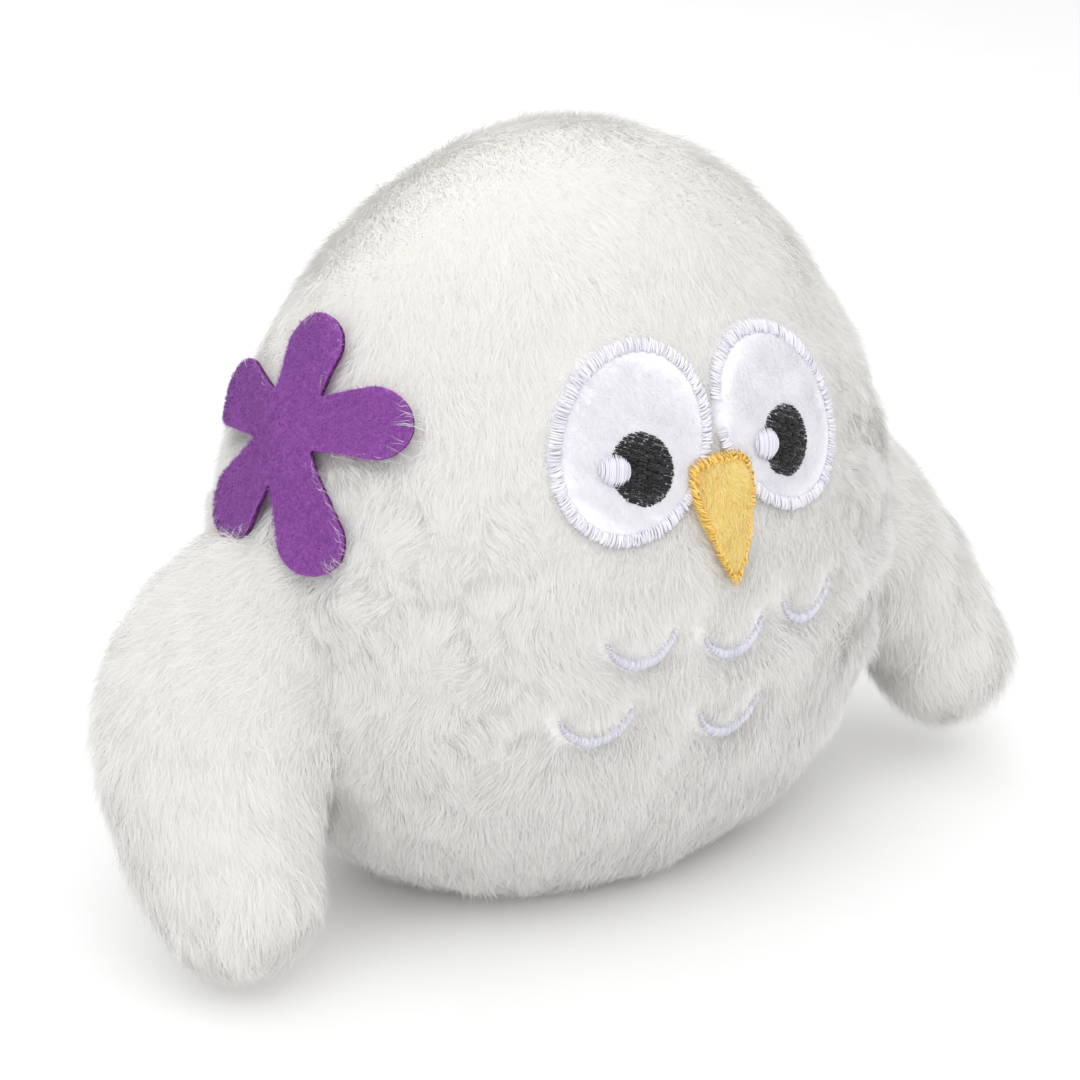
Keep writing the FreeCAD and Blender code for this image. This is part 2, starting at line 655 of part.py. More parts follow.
def build_stuffing():
    fill = egg(-SKIN - SOFT_GAP)
    split_y = CASE_FRONT_Y - 0.4
    base = BASE_THICK + SOFT_GAP
    sensor_room = rod_y((SENSOR_X, SENSOR_Z), SENSOR_R + 0.6, -80, SENSOR_FRONT_Y + SENSOR_DEPTH + 1)
    front = fill.common(half_space(-FAR, split_y - SOFT_GAP, base)).cut(sensor_room)
    channel = lead(SENSOR_LEAD, 2.2)
    write("stuffing_front", largest(front.cut(channel)))

    grow = CASE_ROOM
    front_y = CASE_FRONT_Y - CASE_ROOM
    screw_y = PARTING_Y + WALL + SCREW_HEAD_HEIGHT + 0.6
    rooms = [
        box(-UPPER_HALF_WIDTH - grow, UPPER_HALF_WIDTH + grow, front_y, screw_y,
            UPPER_LOW_Z - grow, UPPER_HIGH_Z + grow),
        box(-LOWER_HALF_WIDTH - grow, LOWER_HALF_WIDTH + grow, front_y, LOWER_REAR_Y + grow,
            LOWER_LOW_Z - grow, UPPER_LOW_Z + WALL + grow),
        box(HOUSING_LEFT_X - 3, HOUSING_RIGHT_X + 3, front_y, FAR, HOUSING_LOW_Z - 2, FLAP_HIGH_Z - 10),
        box(-STRIP_HALF_WIDTH - 2, STRIP_HALF_WIDTH + 2, HOUSING_REAR_Y, FAR, DOOR_LOW_Z + 20,
            STRIP_HIGH_Z + 1)]
    rooms += [lever_room(), mirrored(lever_room())]
    rear = fill.common(half_space(split_y, FAR, base))
    for room in rooms:
        rear = rear.cut(room)
    write("stuffing_rear", largest(rear))


def build_face():
    for side, name in ((-1, "right"), (1, "left")):
        x = FACE_X + side * (EYE_HALF_WIDTH + EYE_APART)
        whole = ellipse_prism(x, EYE_Z, EYE_HALF_WIDTH, EYE_HALF_HEIGHT)
        inner = ellipse_prism(x, EYE_Z, EYE_HALF_WIDTH - EYE_BORDER, EYE_HALF_HEIGHT - EYE_BORDER)
        border = tilted(whole.cut(inner))
        write("eye_patch_" + name, layer(tilted(inner), *PATCH_LAYER))
        write("eye_border_" + name, layer(border, *BORDER_LAYER))
        pupil_x = x + PUPIL_SHIFT_X
        pupil = ellipse_prism(pupil_x, PUPIL_Z, PUPIL_HALF_WIDTH, PUPIL_HALF_HEIGHT)
        write("pupil_" + name, layer(tilted(pupil), *PUPIL_LAYER))
    glints = []
    for side in (-1, 1):
        x = FACE_X + side * (EYE_HALF_WIDTH + EYE_APART) + PUPIL_SHIFT_X + HIGHLIGHT_SHIFT_X
        z = PUPIL_Z + HIGHLIGHT_SHIFT_Z
        glint = ellipse_prism(x, z, HIGHLIGHT_HALF_WIDTH, HIGHLIGHT_HALF_HEIGHT)
        glints.append(layer(tilted(glint), *HIGHLIGHT_LAYER))
    write("eye_highlights", Part.makeCompound(glints))

    beak = beak_prism(BEAK_BORDER)
    edge = tilted(beak_prism(0.0).cut(beak))
    write("beak_patch", layer(tilted(beak), *BEAK_LAYER))
    write("beak_border", layer(edge, *BEAK_BORDER_LAYER))
    bands = [layer(scallop_prism(x, z), *SCALLOP_LAYER) for x, z in SCALLOPS]
    write("chest_scallops", Part.makeCompound(bands))


def build_flower():
    normal = Vector(FLOWER_NORMAL).normalize()
    across = Vector(0, 0, 1).cross(normal).normalize()
    up = normal.cross(across)
    petals = []
    for angle in PETAL_ANGLES:
        turn = math.radians(angle)
        ray = across * math.cos(turn) + up * math.sin(turn)
        side = normal.cross(ray)
        middle = FLOWER_CENTRE + ray * PETAL_MIDDLE - normal * FLOWER_REACH
        ring = Part.Ellipse(middle + ray * PETAL_HALF_LENGTH, middle + side * PETAL_HALF_WIDTH, middle)
        petals.append(Part.Face(Part.Wire([ring.toShape()])).extrude(normal * 2 * FLOWER_REACH))
    disc = Part.makeCylinder(FLOWER_DISC_R, 2 * FLOWER_REACH, FLOWER_CENTRE - normal * FLOWER_REACH, normal)
    write("felt_flower", layer(join(petals + [disc]), FLOWER_LOW, FLOWER_LOW + FLOWER_THICK))


def build_wings():
    for side, name, tip in ((1, "left", WING_TIP_LEFT), (-1, "right", WING_TIP_RIGHT)):
        shell = wing_solid(tip, 0.0).cut(wing_solid(tip, SKIN))
        skin = largest(shell.cut(lever_arm(2 * SOFT_GAP)))
        fill = largest(wing_solid(tip, SKIN + SOFT_GAP).cut(lever_arm(SOFT_GAP)))
        write("wing_%s_skin" % name, skin if side > 0 else mirrored(skin))
        write("wing_%s_stuffing" % name, fill if side > 0 else mirrored(fill))
        write("wing_%s_lever" % name, lever(side))


# ---------------------------------------------------------------- the case
PIVOTS = [WING_LEFT, WING_RIGHT, IDLER_LEFT, IDLER_RIGHT]
PIVOT_BOSS_R = 3.5
DRIVE_BOSS_R = 3.0
SECOND_BOSS_R = 2.4
POST_R = 2.6
BOSS_GAP = 0.2              # between a boss and the gear that turns in front of it
PIN_FLOOR = 1.1             # wall left before a blind hole for a pin
SCREW_FLOOR = 4.5           # the same for a screw
LEAD_HOLE = (-34.0, 61.0)   # where the belly sensor's leads enter
LEAD_HOLE_R = 2.2
ARM_WINDOW_X = 56.0         # inner side of the opening that a lever's arm leaves through
ARM_WINDOW_WIDTH = 10.0
ARM_WINDOW_LOW = 11.5       # under and over the pivot
ARM_WINDOW_HIGH = 6.5
LOWER_ROOF_DROP = 10.0      # the lower half of the front shell ends this far under the top
SPEAKER = (-16.0, 46.0)
SPEAKER_R = 14.0
SPEAKER_HOLE_R = 1.0
SPEAKER_RINGS = ((4.0, 6), (8.0, 12))       # radius and number of holes
PLATE_POSTS = [(-8.0, 64.0), (33.5, 50.0)]
PLATE_Y = 2.6
PLATE_THICK = 1.6
PLATE_SCREW_R = 0.9
PLATE_SCREW_HEAD_R = 2.0
TOUCH = 0.02                # between two parts that rest on each other
BOARD_POSTS = [(-34.0, 39.0), (-10.0, 62.0)]
BOARD_POST_R = 2.4
LEAD_PORT_R = 1.6           # where a battery lead leaves the bay
LEAD_PORT_Z = 80.0
SWITCH_SLOT_HALF = (1.3, 5.0)       # half width and half height
DOOR_SCREW_HOLE_R = 1.8
PCB_Y = 7.0
PCB_THICK = 1.6
SOLDER_Y = PCB_Y + PCB_THICK + 0.5      # where a slanting lead ends, clear of the board
SWITCH_X = 25.5
SWITCH_Z = 60.0


def speaker_holes():
    holes = [rod_y(SPEAKER, SPEAKER_HOLE_R, CASE_FRONT_Y - 1, CASE_FRONT_Y + WALL + 1)]
    for ring, count in SPEAKER_RINGS:
        for k in range(count):
            turn = 2 * math.pi * k / count
            place = (SPEAKER[0] + ring * math.cos(turn), SPEAKER[1] + ring * math.sin(turn))
            holes.append(rod_y(place, SPEAKER_HOLE_R, CASE_FRONT_Y - 1, CASE_FRONT_Y + WALL + 1))
    return holes


def case_front():
    upper = rounded_box(-UPPER_HALF_WIDTH, UPPER_HALF_WIDTH, CASE_FRONT_Y, PARTING_Y - SEAM_GAP,
                        UPPER_LOW_Z, UPPER_HIGH_Z, CASE_CORNER)
    lower = rounded_box(-LOWER_HALF_WIDTH, LOWER_HALF_WIDTH, CASE_FRONT_Y, PARTING_Y - SEAM_GAP,
                        LOWER_LOW_Z, UPPER_HIGH_Z - LOWER_ROOF_DROP, CASE_CORNER)
    inside_y = CASE_FRONT_Y + WALL
    beyond = PARTING_Y + 5
    hollow = rounded_box(-UPPER_HALF_WIDTH + WALL, UPPER_HALF_WIDTH - WALL, inside_y, beyond,
                         UPPER_LOW_Z + WALL, UPPER_HIGH_Z - WALL, CASE_CORNER - WALL)
    hollow = hollow.fuse(rounded_box(-LOWER_HALF_WIDTH + WALL, LOWER_HALF_WIDTH - WALL, inside_y, beyond,
                                     LOWER_LOW_Z + WALL, UPPER_HIGH_Z - LOWER_ROOF_DROP, CASE_CORNER - WALL))
    shell = upper.fuse(lower).cut(hollow)
    root_y = inside_y - 1
    bosses = [rod_y(place, PIVOT_BOSS_R, root_y, GEAR_Y - BOSS_GAP) for place in PIVOTS]
    bosses += [rod_y(DRIVE_CENTRE, DRIVE_BOSS_R, root_y, GEAR_Y - BOSS_GAP)]
    bosses += [rod_y(SECOND_CENTRE, SECOND_BOSS_R, root_y, SECOND_Y - BOSS_GAP)]
    bosses += [rod_y(place, BOSS_R, root_y, PARTING_Y - SEAM_GAP) for place in SCREW_PLACES]
    bosses += [rod_y(place, POST_R, root_y, PLATE_Y - TOUCH) for place in PLATE_POSTS]
    pin_y = CASE_FRONT_Y + PIN_FLOOR
    screw_y = CASE_FRONT_Y + SCREW_FLOOR
    holes = [rod_y(place, PIVOT_PIN_R + PRESS, pin_y, beyond) for place in PIVOTS]
    holes += [rod_y(place, LAY_PIN_R + PRESS, pin_y, beyond) for place in (DRIVE_CENTRE, SECOND_CENTRE)]
    holes += [rod_y(place, SCREW_R + PRESS, screw_y, beyond) for place in SCREW_PLACES]
    holes += [rod_y(place, PLATE_SCREW_R + PRESS, screw_y + 1.5, beyond) for place in PLATE_POSTS]
    holes += speaker_holes()
    holes += [rod_y(LEAD_HOLE, LEAD_HOLE_R, CASE_FRONT_Y - 1, inside_y + 1)]
    for side in (-1, 1):
        x0 = min(side * ARM_WINDOW_X, side * (ARM_WINDOW_X + ARM_WINDOW_WIDTH))
        holes.append(box(x0, x0 + ARM_WINDOW_WIDTH, GEAR_Y - LEVER_ROOM_GAP, beyond,
                         PIVOT_Z - ARM_WINDOW_LOW, PIVOT_Z + ARM_WINDOW_HIGH))
    return shell.fuse(bosses).cut(holes)


def case_rear():
    corner = CASE_CORNER
    plate = rounded_box(-UPPER_HALF_WIDTH, UPPER_HALF_WIDTH, PARTING_Y, PARTING_Y + WALL,
                        UPPER_LOW_Z, UPPER_HIGH_Z, corner)
    lower = rounded_box(-LOWER_HALF_WIDTH, LOWER_HALF_WIDTH, PARTING_Y, LOWER_REAR_Y,
                        LOWER_LOW_Z, UPPER_LOW_Z + 2, corner)
    housing = rounded_box(HOUSING_LEFT_X, HOUSING_RIGHT_X, PARTING_Y, HOUSING_REAR_Y,
                          HOUSING_LOW_Z, HOUSING_HIGH_Z, 2.0)
    ears = []
    for side in (-1, 1):
        x0 = min(side * (KNUCKLE_HALF + 0.3), side * EAR_END)
        x1 = max(side * (KNUCKLE_HALF + 0.3), side * EAR_END)
        ears.append(rod_x(DOOR_PIN_Y, DOOR_PIN_Z, KNUCKLE_R, x0, x1))
        ears.append(box(x0, x1, HOUSING_REAR_Y - 1, DOOR_PIN_Y, DOOR_PIN_Z - 1.0, DOOR_PIN_Z + 1.2))
    solid = join([plate, lower, housing] + ears)
    hollows = [
        box(-LOWER_HALF_WIDTH + WALL, LOWER_HALF_WIDTH - WALL, 0, LOWER_REAR_Y - WALL,
            LOWER_LOW_Z + WALL, UPPER_LOW_Z),
        box(HOUSING_LEFT_X + WALL, HOUSING_RIGHT_X - WALL, 0, LOWER_REAR_Y - 0.3,
            HOUSING_LOW_Z + WALL, BAY_HIGH_Z),
        box(BAY_HALF_WIDTH + 2.4, HOUSING_RIGHT_X - WALL, 20, HOUSING_REAR_Y - WALL,
            HOUSING_LOW_Z + WALL, BAY_HIGH_Z),
        box(-BAY_HALF_WIDTH, BAY_HALF_WIDTH, BAY_FRONT_Y, 60, BAY_LOW_Z, BAY_HIGH_Z)]
    solid = solid.cut(hollows)
    bosses = [rod_y(place, PIVOT_BOSS_R, GEAR_Y + GEAR_WIDTH + BOSS_GAP, PARTING_Y + 1) for place in PIVOTS]
    for place in SCREW_PLACES[:2]:
        bosses.append(rod_y(place, BOSS_R + 1.0, PARTING_Y, LOWER_REAR_Y - 1))
    for place in BOARD_POSTS:
        bosses.append(rod_y(place, BOARD_POST_R, PCB_Y + PCB_THICK + TOUCH, LOWER_REAR_Y - 0.1))
    holes = [rod_y(place, PIVOT_PIN_R + PRESS, GEAR_Y, PARTING_Y + WALL - PIN_FLOOR) for place in PIVOTS]
    holes += [rod_y(place, SCREW_R + 0.2, 0, FAR) for place in SCREW_PLACES]
    holes += [rod_y(place, SCREW_HEAD_R + 0.4, PARTING_Y + WALL, FAR) for place in SCREW_PLACES]
    holes.append(rod_x(DOOR_PIN_Y, DOOR_PIN_Z, DOOR_PIN_R + PRESS, -EAR_END - 1, EAR_END + 1))
    holes.append(rod_y((0.0, DOOR_SCREW_Z), DOOR_SCREW_HOLE_R, HOUSING_REAR_Y - 6, FAR))
    half_x, half_z = SWITCH_SLOT_HALF
    holes.append(box(SWITCH_X - half_x, SWITCH_X + half_x, HOUSING_REAR_Y - 2 * WALL, FAR,
                     SWITCH_Z - half_z, SWITCH_Z + half_z))
    for side in (-1, 1):
        holes.append(rod_y((side * CELL_PITCH, LEAD_PORT_Z), LEAD_PORT_R, 20, BAY_FRONT_Y + 1))
    return solid.fuse(bosses).cut(holes)


def build_case():
    write("case_front", case_front())
    write("case_rear", case_rear())
    screws = []
    for place in SCREW_PLACES:
        head_y = PARTING_Y + WALL
        shank = rod_y(place, SCREW_R, CASE_FRONT_Y + 6, head_y + 0.3)
        head = rod_y(place, SCREW_HEAD_R, head_y + TOUCH, head_y + SCREW_HEAD_HEIGHT)
        slot = box(place[0] - 0.35, place[0] + 0.35, head_y + 0.9, head_y + 3,
                   place[1] - 1.8, place[1] + 1.8)
        screws.append(shank.fuse(head).cut(slot))
    write("case_screws", Part.makeCompound(screws))
    pin_y = CASE_FRONT_Y + WALL - 0.8
    write("pivot_pins", Part.makeCompound(
        [rod_y(place, PIVOT_PIN_R, pin_y, PARTING_Y + 0.8) for place in PIVOTS]))
    write("lay_pins", Part.makeCompound(
        [rod_y(place, LAY_PIN_R, pin_y, PLATE_Y + PLATE_THICK)
         for place in (DRIVE_CENTRE, SECOND_CENTRE)]))


def build_drive():
    write("idler_gear_right", idler(IDLER_RIGHT, IDLER_RIGHT_PHASE))
    write("idler_gear_left", idler(IDLER_LEFT, IDLER_LEFT_PHASE))
    write("drive_gear", drive_gear())
    write("second_gear", second_gear())

    plate = rounded_box(-12, 27.4, PLATE_Y, PLATE_Y + PLATE_THICK, 42, 73, 3)
    plate = plate.fuse(rounded_box(18, 37.4, PLATE_Y, PLATE_Y + PLATE_THICK, 44, 58, 3))
    holes = [rod_y(place, LAY_PIN_R + PRESS, 0, 10) for place in (DRIVE_CENTRE, SECOND_CENTRE)]
    holes += [rod_y(place, PLATE_SCREW_R + 0.2, 0, 10) for place in PLATE_POSTS]
    holes.append(rod_y(MOTOR_CENTRE, MOTOR_NOSE_R + 0.1, 0, 10))
    write("motor_plate", plate.cut(holes))
    screws = []
    for place in PLATE_POSTS:
        top = PLATE_Y + PLATE_THICK
        shank = rod_y(place, PLATE_SCREW_R, CASE_FRONT_Y + 7, top + 0.2)
        screws.append(shank.fuse(rod_y(place, PLATE_SCREW_HEAD_R, top + TOUCH, top + 1.2)))
    write("plate_screws", Part.makeCompound(screws))


MOTOR_Y = PLATE_Y + PLATE_THICK + TOUCH
MOTOR_LENGTH = 25.0
MOTOR_R = 10.05
MOTOR_HALF_HEIGHT = 7.55
MOTOR_NOSE_R = 3.0
MOTOR_SHAFT_R = 1.0
MOTOR_CAN_WALL = 0.8
MAGNET_BORE_R = 7.2
ROTOR_R = 6.4
ROTOR_SLOTS = 3
ROTOR_SLOT_RING = 5.4
ROTOR_SLOT_R = 1.6
COMMUTATOR_R = 2.6


def flat_round(radius, half_height, y0, y1):
    """A round bar with a flat top and bottom, on the motor's axis."""
    x, z = MOTOR_CENTRE
    slab = box(x - 20, x + 20, y0, y1, z - half_height, z + half_height)
    return rod_y(MOTOR_CENTRE, radius, y0, y1).common(slab)


def build_motor():
    cap_y = MOTOR_Y + MOTOR_LENGTH - 2.6
    can = flat_round(MOTOR_R, MOTOR_HALF_HEIGHT, MOTOR_Y, cap_y)
    room_r, room_half = MOTOR_R - MOTOR_CAN_WALL, MOTOR_HALF_HEIGHT - MOTOR_CAN_WALL
    can = can.cut(flat_round(room_r, room_half, MOTOR_Y + MOTOR_CAN_WALL, cap_y + 1))
    nose = rod_y(MOTOR_CENTRE, MOTOR_NOSE_R, MOTOR_Y - 1.5, MOTOR_Y + 1.6)
    bore = rod_y(MOTOR_CENTRE, MOTOR_SHAFT_R + RUNNING, MOTOR_Y - 3, MOTOR_Y + 3)
    write("motor_can", can.fuse(nose).cut(bore))
    ring = flat_round(room_r - RUNNING, room_half - RUNNING, MOTOR_Y + 3, cap_y - 2)
    ring = ring.cut(rod_y(MOTOR_CENTRE, MAGNET_BORE_R, MOTOR_Y, cap_y))
    x, z = MOTOR_CENTRE
    write("motor_magnets", ring.cut(box(x - 5, x + 5, 0, 40, z - 12, z + 12)))
    cap = flat_round(MOTOR_R - 0.1, MOTOR_HALF_HEIGHT - 0.1, cap_y + TOUCH, cap_y + 2.6)
    cap = cap.cut(rod_y(MOTOR_CENTRE, MOTOR_SHAFT_R + RUNNING, cap_y - 1, cap_y + 1.8))
    tabs = [box(x + dx - 1, x + dx + 1, cap_y + 0.8, cap_y + 1.3, z - 10.0, z - 6) for dx in (-4, 4)]
    write("motor_end_cap", cap.fuse(tabs))
    shaft = rod_y(MOTOR_CENTRE, MOTOR_SHAFT_R, THIRD_Y - 0.4, cap_y + 1.6)
    core = rod_y(MOTOR_CENTRE, ROTOR_R, MOTOR_Y + 4, cap_y - 5)
    slots = []
    for k in range(ROTOR_SLOTS):
        turn = 2 * math.pi * k / ROTOR_SLOTS + math.radians(30)
        place = (x + ROTOR_SLOT_RING * math.cos(turn), z + ROTOR_SLOT_RING * math.sin(turn))
        slots.append(rod_y(place, ROTOR_SLOT_R, 0, 40))
    drum = rod_y(MOTOR_CENTRE, COMMUTATOR_R, cap_y - 4.6, cap_y - 1)
    write("motor_rotor", join([core.cut(slots), shaft, drum]))
    pinion = gear(MOTOR_MODULE, MOTOR_TEETH, MOTOR_PHASE, MOTOR_CENTRE, THIRD_Y, STAGE_WIDTH)
    write("motor_pinion", pinion.cut(rod_y(MOTOR_CENTRE, MOTOR_SHAFT_R + PRESS, THIRD_Y - 1, 5)))


def build_electronics():
    board = box(-37.4, -7, PCB_Y, PCB_Y + PCB_THICK, 28.6, 65.4)
    back_y = PCB_Y + PCB_THICK - 0.2
    parts = [
        box(-27, -19, back_y, back_y + 1.4, 44, 52),
        box(-17, -13, back_y, back_y + 1.2, 38, 42),
        box(-33, -28, back_y, back_y + 4.0, 55, 59),
        rod_y((-14.0, 52.0), 2.5, back_y, back_y + 6.0),
        rod_y((-22.0, 36.0), 2.0, back_y, back_y + 5.0)]
    holes = [rod_y(place, 1.0, 0, 20) for place in BOARD_POSTS]
    holes.append(rod_y(SCREW_PLACES[0], BOSS_R + 1.4, 0, 20))
    write("circuit_board", board.fuse(parts).cut(holes))
    write("microphone", rod_y((-31.0, 50.0), 3.0, PCB_Y - 2.7, PCB_Y - TOUCH))

    front = CASE_FRONT_Y + WALL + 0.2
    frame = tube_y(SPEAKER, SPEAKER_R, SPEAKER_R - 1.2, front, front + 4.6)
    frame = frame.fuse(tube_y(SPEAKER, SPEAKER_R, 8.05, front + 3.8, front + 4.6))
    tabs = [box(SPEAKER[0] + dx - 1, SPEAKER[0] + dx + 1, front + 2.5, front + 3.0,
                SPEAKER[1] - SPEAKER_R - 2.0, SPEAKER[1] - SPEAKER_R + 0.6) for dx in (-4, 4)]
    write("speaker_frame", frame.fuse(tabs))
    axis = Vector(0, 1, 0)
    base = Vector(SPEAKER[0], front + 0.3, SPEAKER[1])
    cone = Part.makeCone(12.6, 5.0, 3.0, base, axis)
    cone = cone.cut(Part.makeCone(12.2, 4.6, 3.0, base + axis * -0.4, axis))
    write("speaker_cone", cone.fuse(rod_y(SPEAKER, 5.0, front + 2.8, front + 3.3)))
    write("speaker_magnet", rod_y(SPEAKER, 8.0, front + 3.82, front + 9.5))


def build_power():
    cells = []
    springs = []
    plates = []
    for k in (-1, 0, 1):
        x = k * CELL_PITCH
        body = Part.makeCylinder(CELL_R, CELL_LENGTH - 1.0, Vector(x, CELL_Y, CELL_LOW_Z))
        button = Part.makeCylinder(1.9, 1.2, Vector(x, CELL_Y, CELL_LOW_Z + CELL_LENGTH - 1.2))
        cells.append(body.fuse(button))
        springs.append(coil((x, CELL_Y, BAY_LOW_Z + 0.8), (0, 0, 1), 3.2, 0.3, 1.3, 0.65))
        plates.append(box(x - 4.6, x + 4.6, CELL_Y - 4, CELL_Y + 4, BAY_LOW_Z + 0.02, BAY_LOW_Z + 0.4))
        plates.append(box(x - 4.6, x + 4.6, CELL_Y - 4, CELL_Y + 4, BAY_HIGH_Z - 0.6, BAY_HIGH_Z - 0.02))
    write("battery_cells", Part.makeCompound(cells))
    write("battery_contacts", Part.makeCompound(springs + plates))

    door = rounded_box(-DOOR_HALF_WIDTH, DOOR_HALF_WIDTH, HOUSING_REAR_Y + 0.15,
                       HOUSING_REAR_Y + 0.15 + DOOR_THICK, DOOR_LOW_Z, DOOR_HIGH_Z, 2.0)
    knuckle = rod_x(DOOR_PIN_Y, DOOR_PIN_Z, KNUCKLE_R, -KNUCKLE_HALF, KNUCKLE_HALF)
    web = box(-KNUCKLE_HALF, KNUCKLE_HALF, DOOR_PIN_Y - KNUCKLE_R + 0.1, DOOR_PIN_Y,
              DOOR_PIN_Z, DOOR_LOW_Z + 0.5)
    grips = [box(-9, 9, HOUSING_REAR_Y + 1.6, HOUSING_REAR_Y + 2.5, z, z + 1.0)
             for z in (74, 76.5, 79)]
    pin_room = rod_x(DOOR_PIN_Y, DOOR_PIN_Z, DOOR_PIN_R + RUNNING, -20, 20)
    screw_room = rod_y((0.0, DOOR_SCREW_Z), SCREW_R + 0.15, 40, 60)
    write("battery_door", join([door, knuckle, web] + grips).cut([pin_room, screw_room]))
    write("door_hinge_pin", rod_x(DOOR_PIN_Y, DOOR_PIN_Z, DOOR_PIN_R, -EAR_END, EAR_END))
    outside = HOUSING_REAR_Y + 0.15 + DOOR_THICK
    screw = rod_y((0.0, DOOR_SCREW_Z), SCREW_R, HOUSING_REAR_Y - 4, outside + 0.3)
    head = rod_y((0.0, DOOR_SCREW_Z), SCREW_HEAD_R, outside + 0.02, outside + 1.3)
    cross = box(-0.3, 0.3, outside + 0.7, outside + 3, DOOR_SCREW_Z - 1.7, DOOR_SCREW_Z + 1.7)
    write("door_screw", screw.fuse(head).cut(cross))

    body_y = HOUSING_REAR_Y - WALL
    body = box(SWITCH_X - 2.4, SWITCH_X + 2.4, body_y - 5, body_y - 0.05, SWITCH_Z - 7, SWITCH_Z + 7)
    body = body.cut(box(SWITCH_X - 1.25, SWITCH_X + 1.25, body_y - 3, body_y + 1,
                        SWITCH_Z - 5, SWITCH_Z + 5))
    write("switch_body", body)
    stem = box(SWITCH_X - 1.1, SWITCH_X + 1.1, body_y - 2.8, HOUSING_REAR_Y + 0.5,
               SWITCH_Z - 4.6, SWITCH_Z - 0.6)
    cap = box(SWITCH_X - 1.9, SWITCH_X + 1.9, HOUSING_REAR_Y + 0.15, HOUSING_REAR_Y + 1.2,
              SWITCH_Z - 5.0, SWITCH_Z - 0.2)
    write("switch_knob", stem.fuse(cap))


def build_sensor():
    place = (SENSOR_X, SENSOR_Z)
    rear = SENSOR_FRONT_Y + SENSOR_DEPTH
    case = rod_y(place, SENSOR_R, SENSOR_FRONT_Y, rear)
    hollow = rod_y(place, SENSOR_R - 1.5, SENSOR_FRONT_Y + 1.5, rear - 1.2)
    mouth = rod_y(place, BUTTON_R + RUNNING, SENSOR_FRONT_Y - 1, SENSOR_FRONT_Y + 2)
    outlet = box(SENSOR_X - 2.5, SENSOR_X + 2.5, rear - 2, rear + 1, SENSOR_Z - 1, SENSOR_Z + 1)
    write("sensor_housing", case.cut([hollow, mouth, outlet]))
    button = rod_y(place, BUTTON_R, SENSOR_FRONT_Y - BUTTON_PROUD, SENSOR_FRONT_Y + 2.0)
    flange = rod_y(place, BUTTON_R + 1.5, SENSOR_FRONT_Y + 1.55, SENSOR_FRONT_Y + 2.4)
    write("sensor_button", button.fuse(flange))
    length = rear - 1.2 - SENSOR_FRONT_Y - 2.4 - 0.7
    spring = coil((SENSOR_X, SENSOR_FRONT_Y + 2.4 + 0.35, SENSOR_Z), (0, 1, 0), 4.0, 0.3, length, 0.85)
    write("sensor_spring", spring)


def build_leads():
    write("sensor_leads", lead_pair(SENSOR_LEAD, (0, 0, 1.5)))
    x, z = MOTOR_CENTRE
    cap_y = MOTOR_Y + MOTOR_LENGTH - 1.5
    motor = [(x, cap_y, z - 10.1), (x - 1.0, cap_y - 1.0, z - 14.0), (x - 6.0, cap_y - 7.0, z - 16.0),
             (x - 13.0, PCB_Y + 5.0, z - 13.5), (x - 15.0, SOLDER_Y, z - 12.0)]
    write("motor_leads", lead_pair(motor, (8.0, 0, 0)))
    tab_y = CASE_FRONT_Y + WALL + 3.8
    speaker = [(-16.0, tab_y, 30.4), (-16.0, tab_y + 5.0, 29.6), (-16.5, PCB_Y - 5.0, 29.8),
               (-17.0, PCB_Y - 0.1, 31.4)]
    write("speaker_leads", lead_pair(speaker, (8.0, 0, 0)))
    pair = []
    for side in (-1, 1):
        points = [(side * CELL_PITCH, BAY_FRONT_Y - 0.3, 80.0), (side * CELL_PITCH, 27.0, 79.0),
                  (side * CELL_PITCH * 0.5 - 7.0, 20.0, 73.0), (side * 3.0 - 17.5, 14.0, 67.0),
                  (side * 3.0 - 17.0, SOLDER_Y, 60.0)]
        pair.append(lead(points, LEAD_R))
    write("battery_leads", Part.makeCompound(pair))


build_body()
build_stuffing()
build_face()
build_flower()
build_wings()
build_case()
build_drive()
build_motor()
build_electronics()
build_power()
build_sensor()
build_leads()
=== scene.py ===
import json
import math

import bmesh
import bpy
import numpy as np
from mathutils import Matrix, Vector
from mathutils.kdtree import KDTree


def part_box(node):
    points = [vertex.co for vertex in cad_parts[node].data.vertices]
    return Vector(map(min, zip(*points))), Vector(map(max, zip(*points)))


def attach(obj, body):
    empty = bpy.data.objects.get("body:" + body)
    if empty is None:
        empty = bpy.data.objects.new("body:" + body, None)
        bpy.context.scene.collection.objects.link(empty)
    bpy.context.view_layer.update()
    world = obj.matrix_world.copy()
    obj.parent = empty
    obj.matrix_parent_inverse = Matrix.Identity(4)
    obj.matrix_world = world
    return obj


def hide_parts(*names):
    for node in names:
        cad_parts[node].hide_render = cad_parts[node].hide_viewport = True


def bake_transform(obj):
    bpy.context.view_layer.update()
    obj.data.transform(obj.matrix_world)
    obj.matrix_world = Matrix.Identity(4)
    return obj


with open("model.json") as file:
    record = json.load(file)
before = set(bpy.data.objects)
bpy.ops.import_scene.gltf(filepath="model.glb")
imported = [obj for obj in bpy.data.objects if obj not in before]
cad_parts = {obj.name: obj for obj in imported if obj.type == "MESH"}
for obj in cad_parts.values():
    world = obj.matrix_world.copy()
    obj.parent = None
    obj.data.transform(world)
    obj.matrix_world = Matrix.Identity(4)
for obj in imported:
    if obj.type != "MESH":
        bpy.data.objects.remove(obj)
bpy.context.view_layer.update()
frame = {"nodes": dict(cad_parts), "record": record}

# A plush owl with a long white pile, embroidered eyes, beak and chest feathers, a felt flower
# and two flapping wings.  Metres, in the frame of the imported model: +Z up, the owl faces -Y.
MM = 0.001
WINGS = {"right": -1, "left": 1}

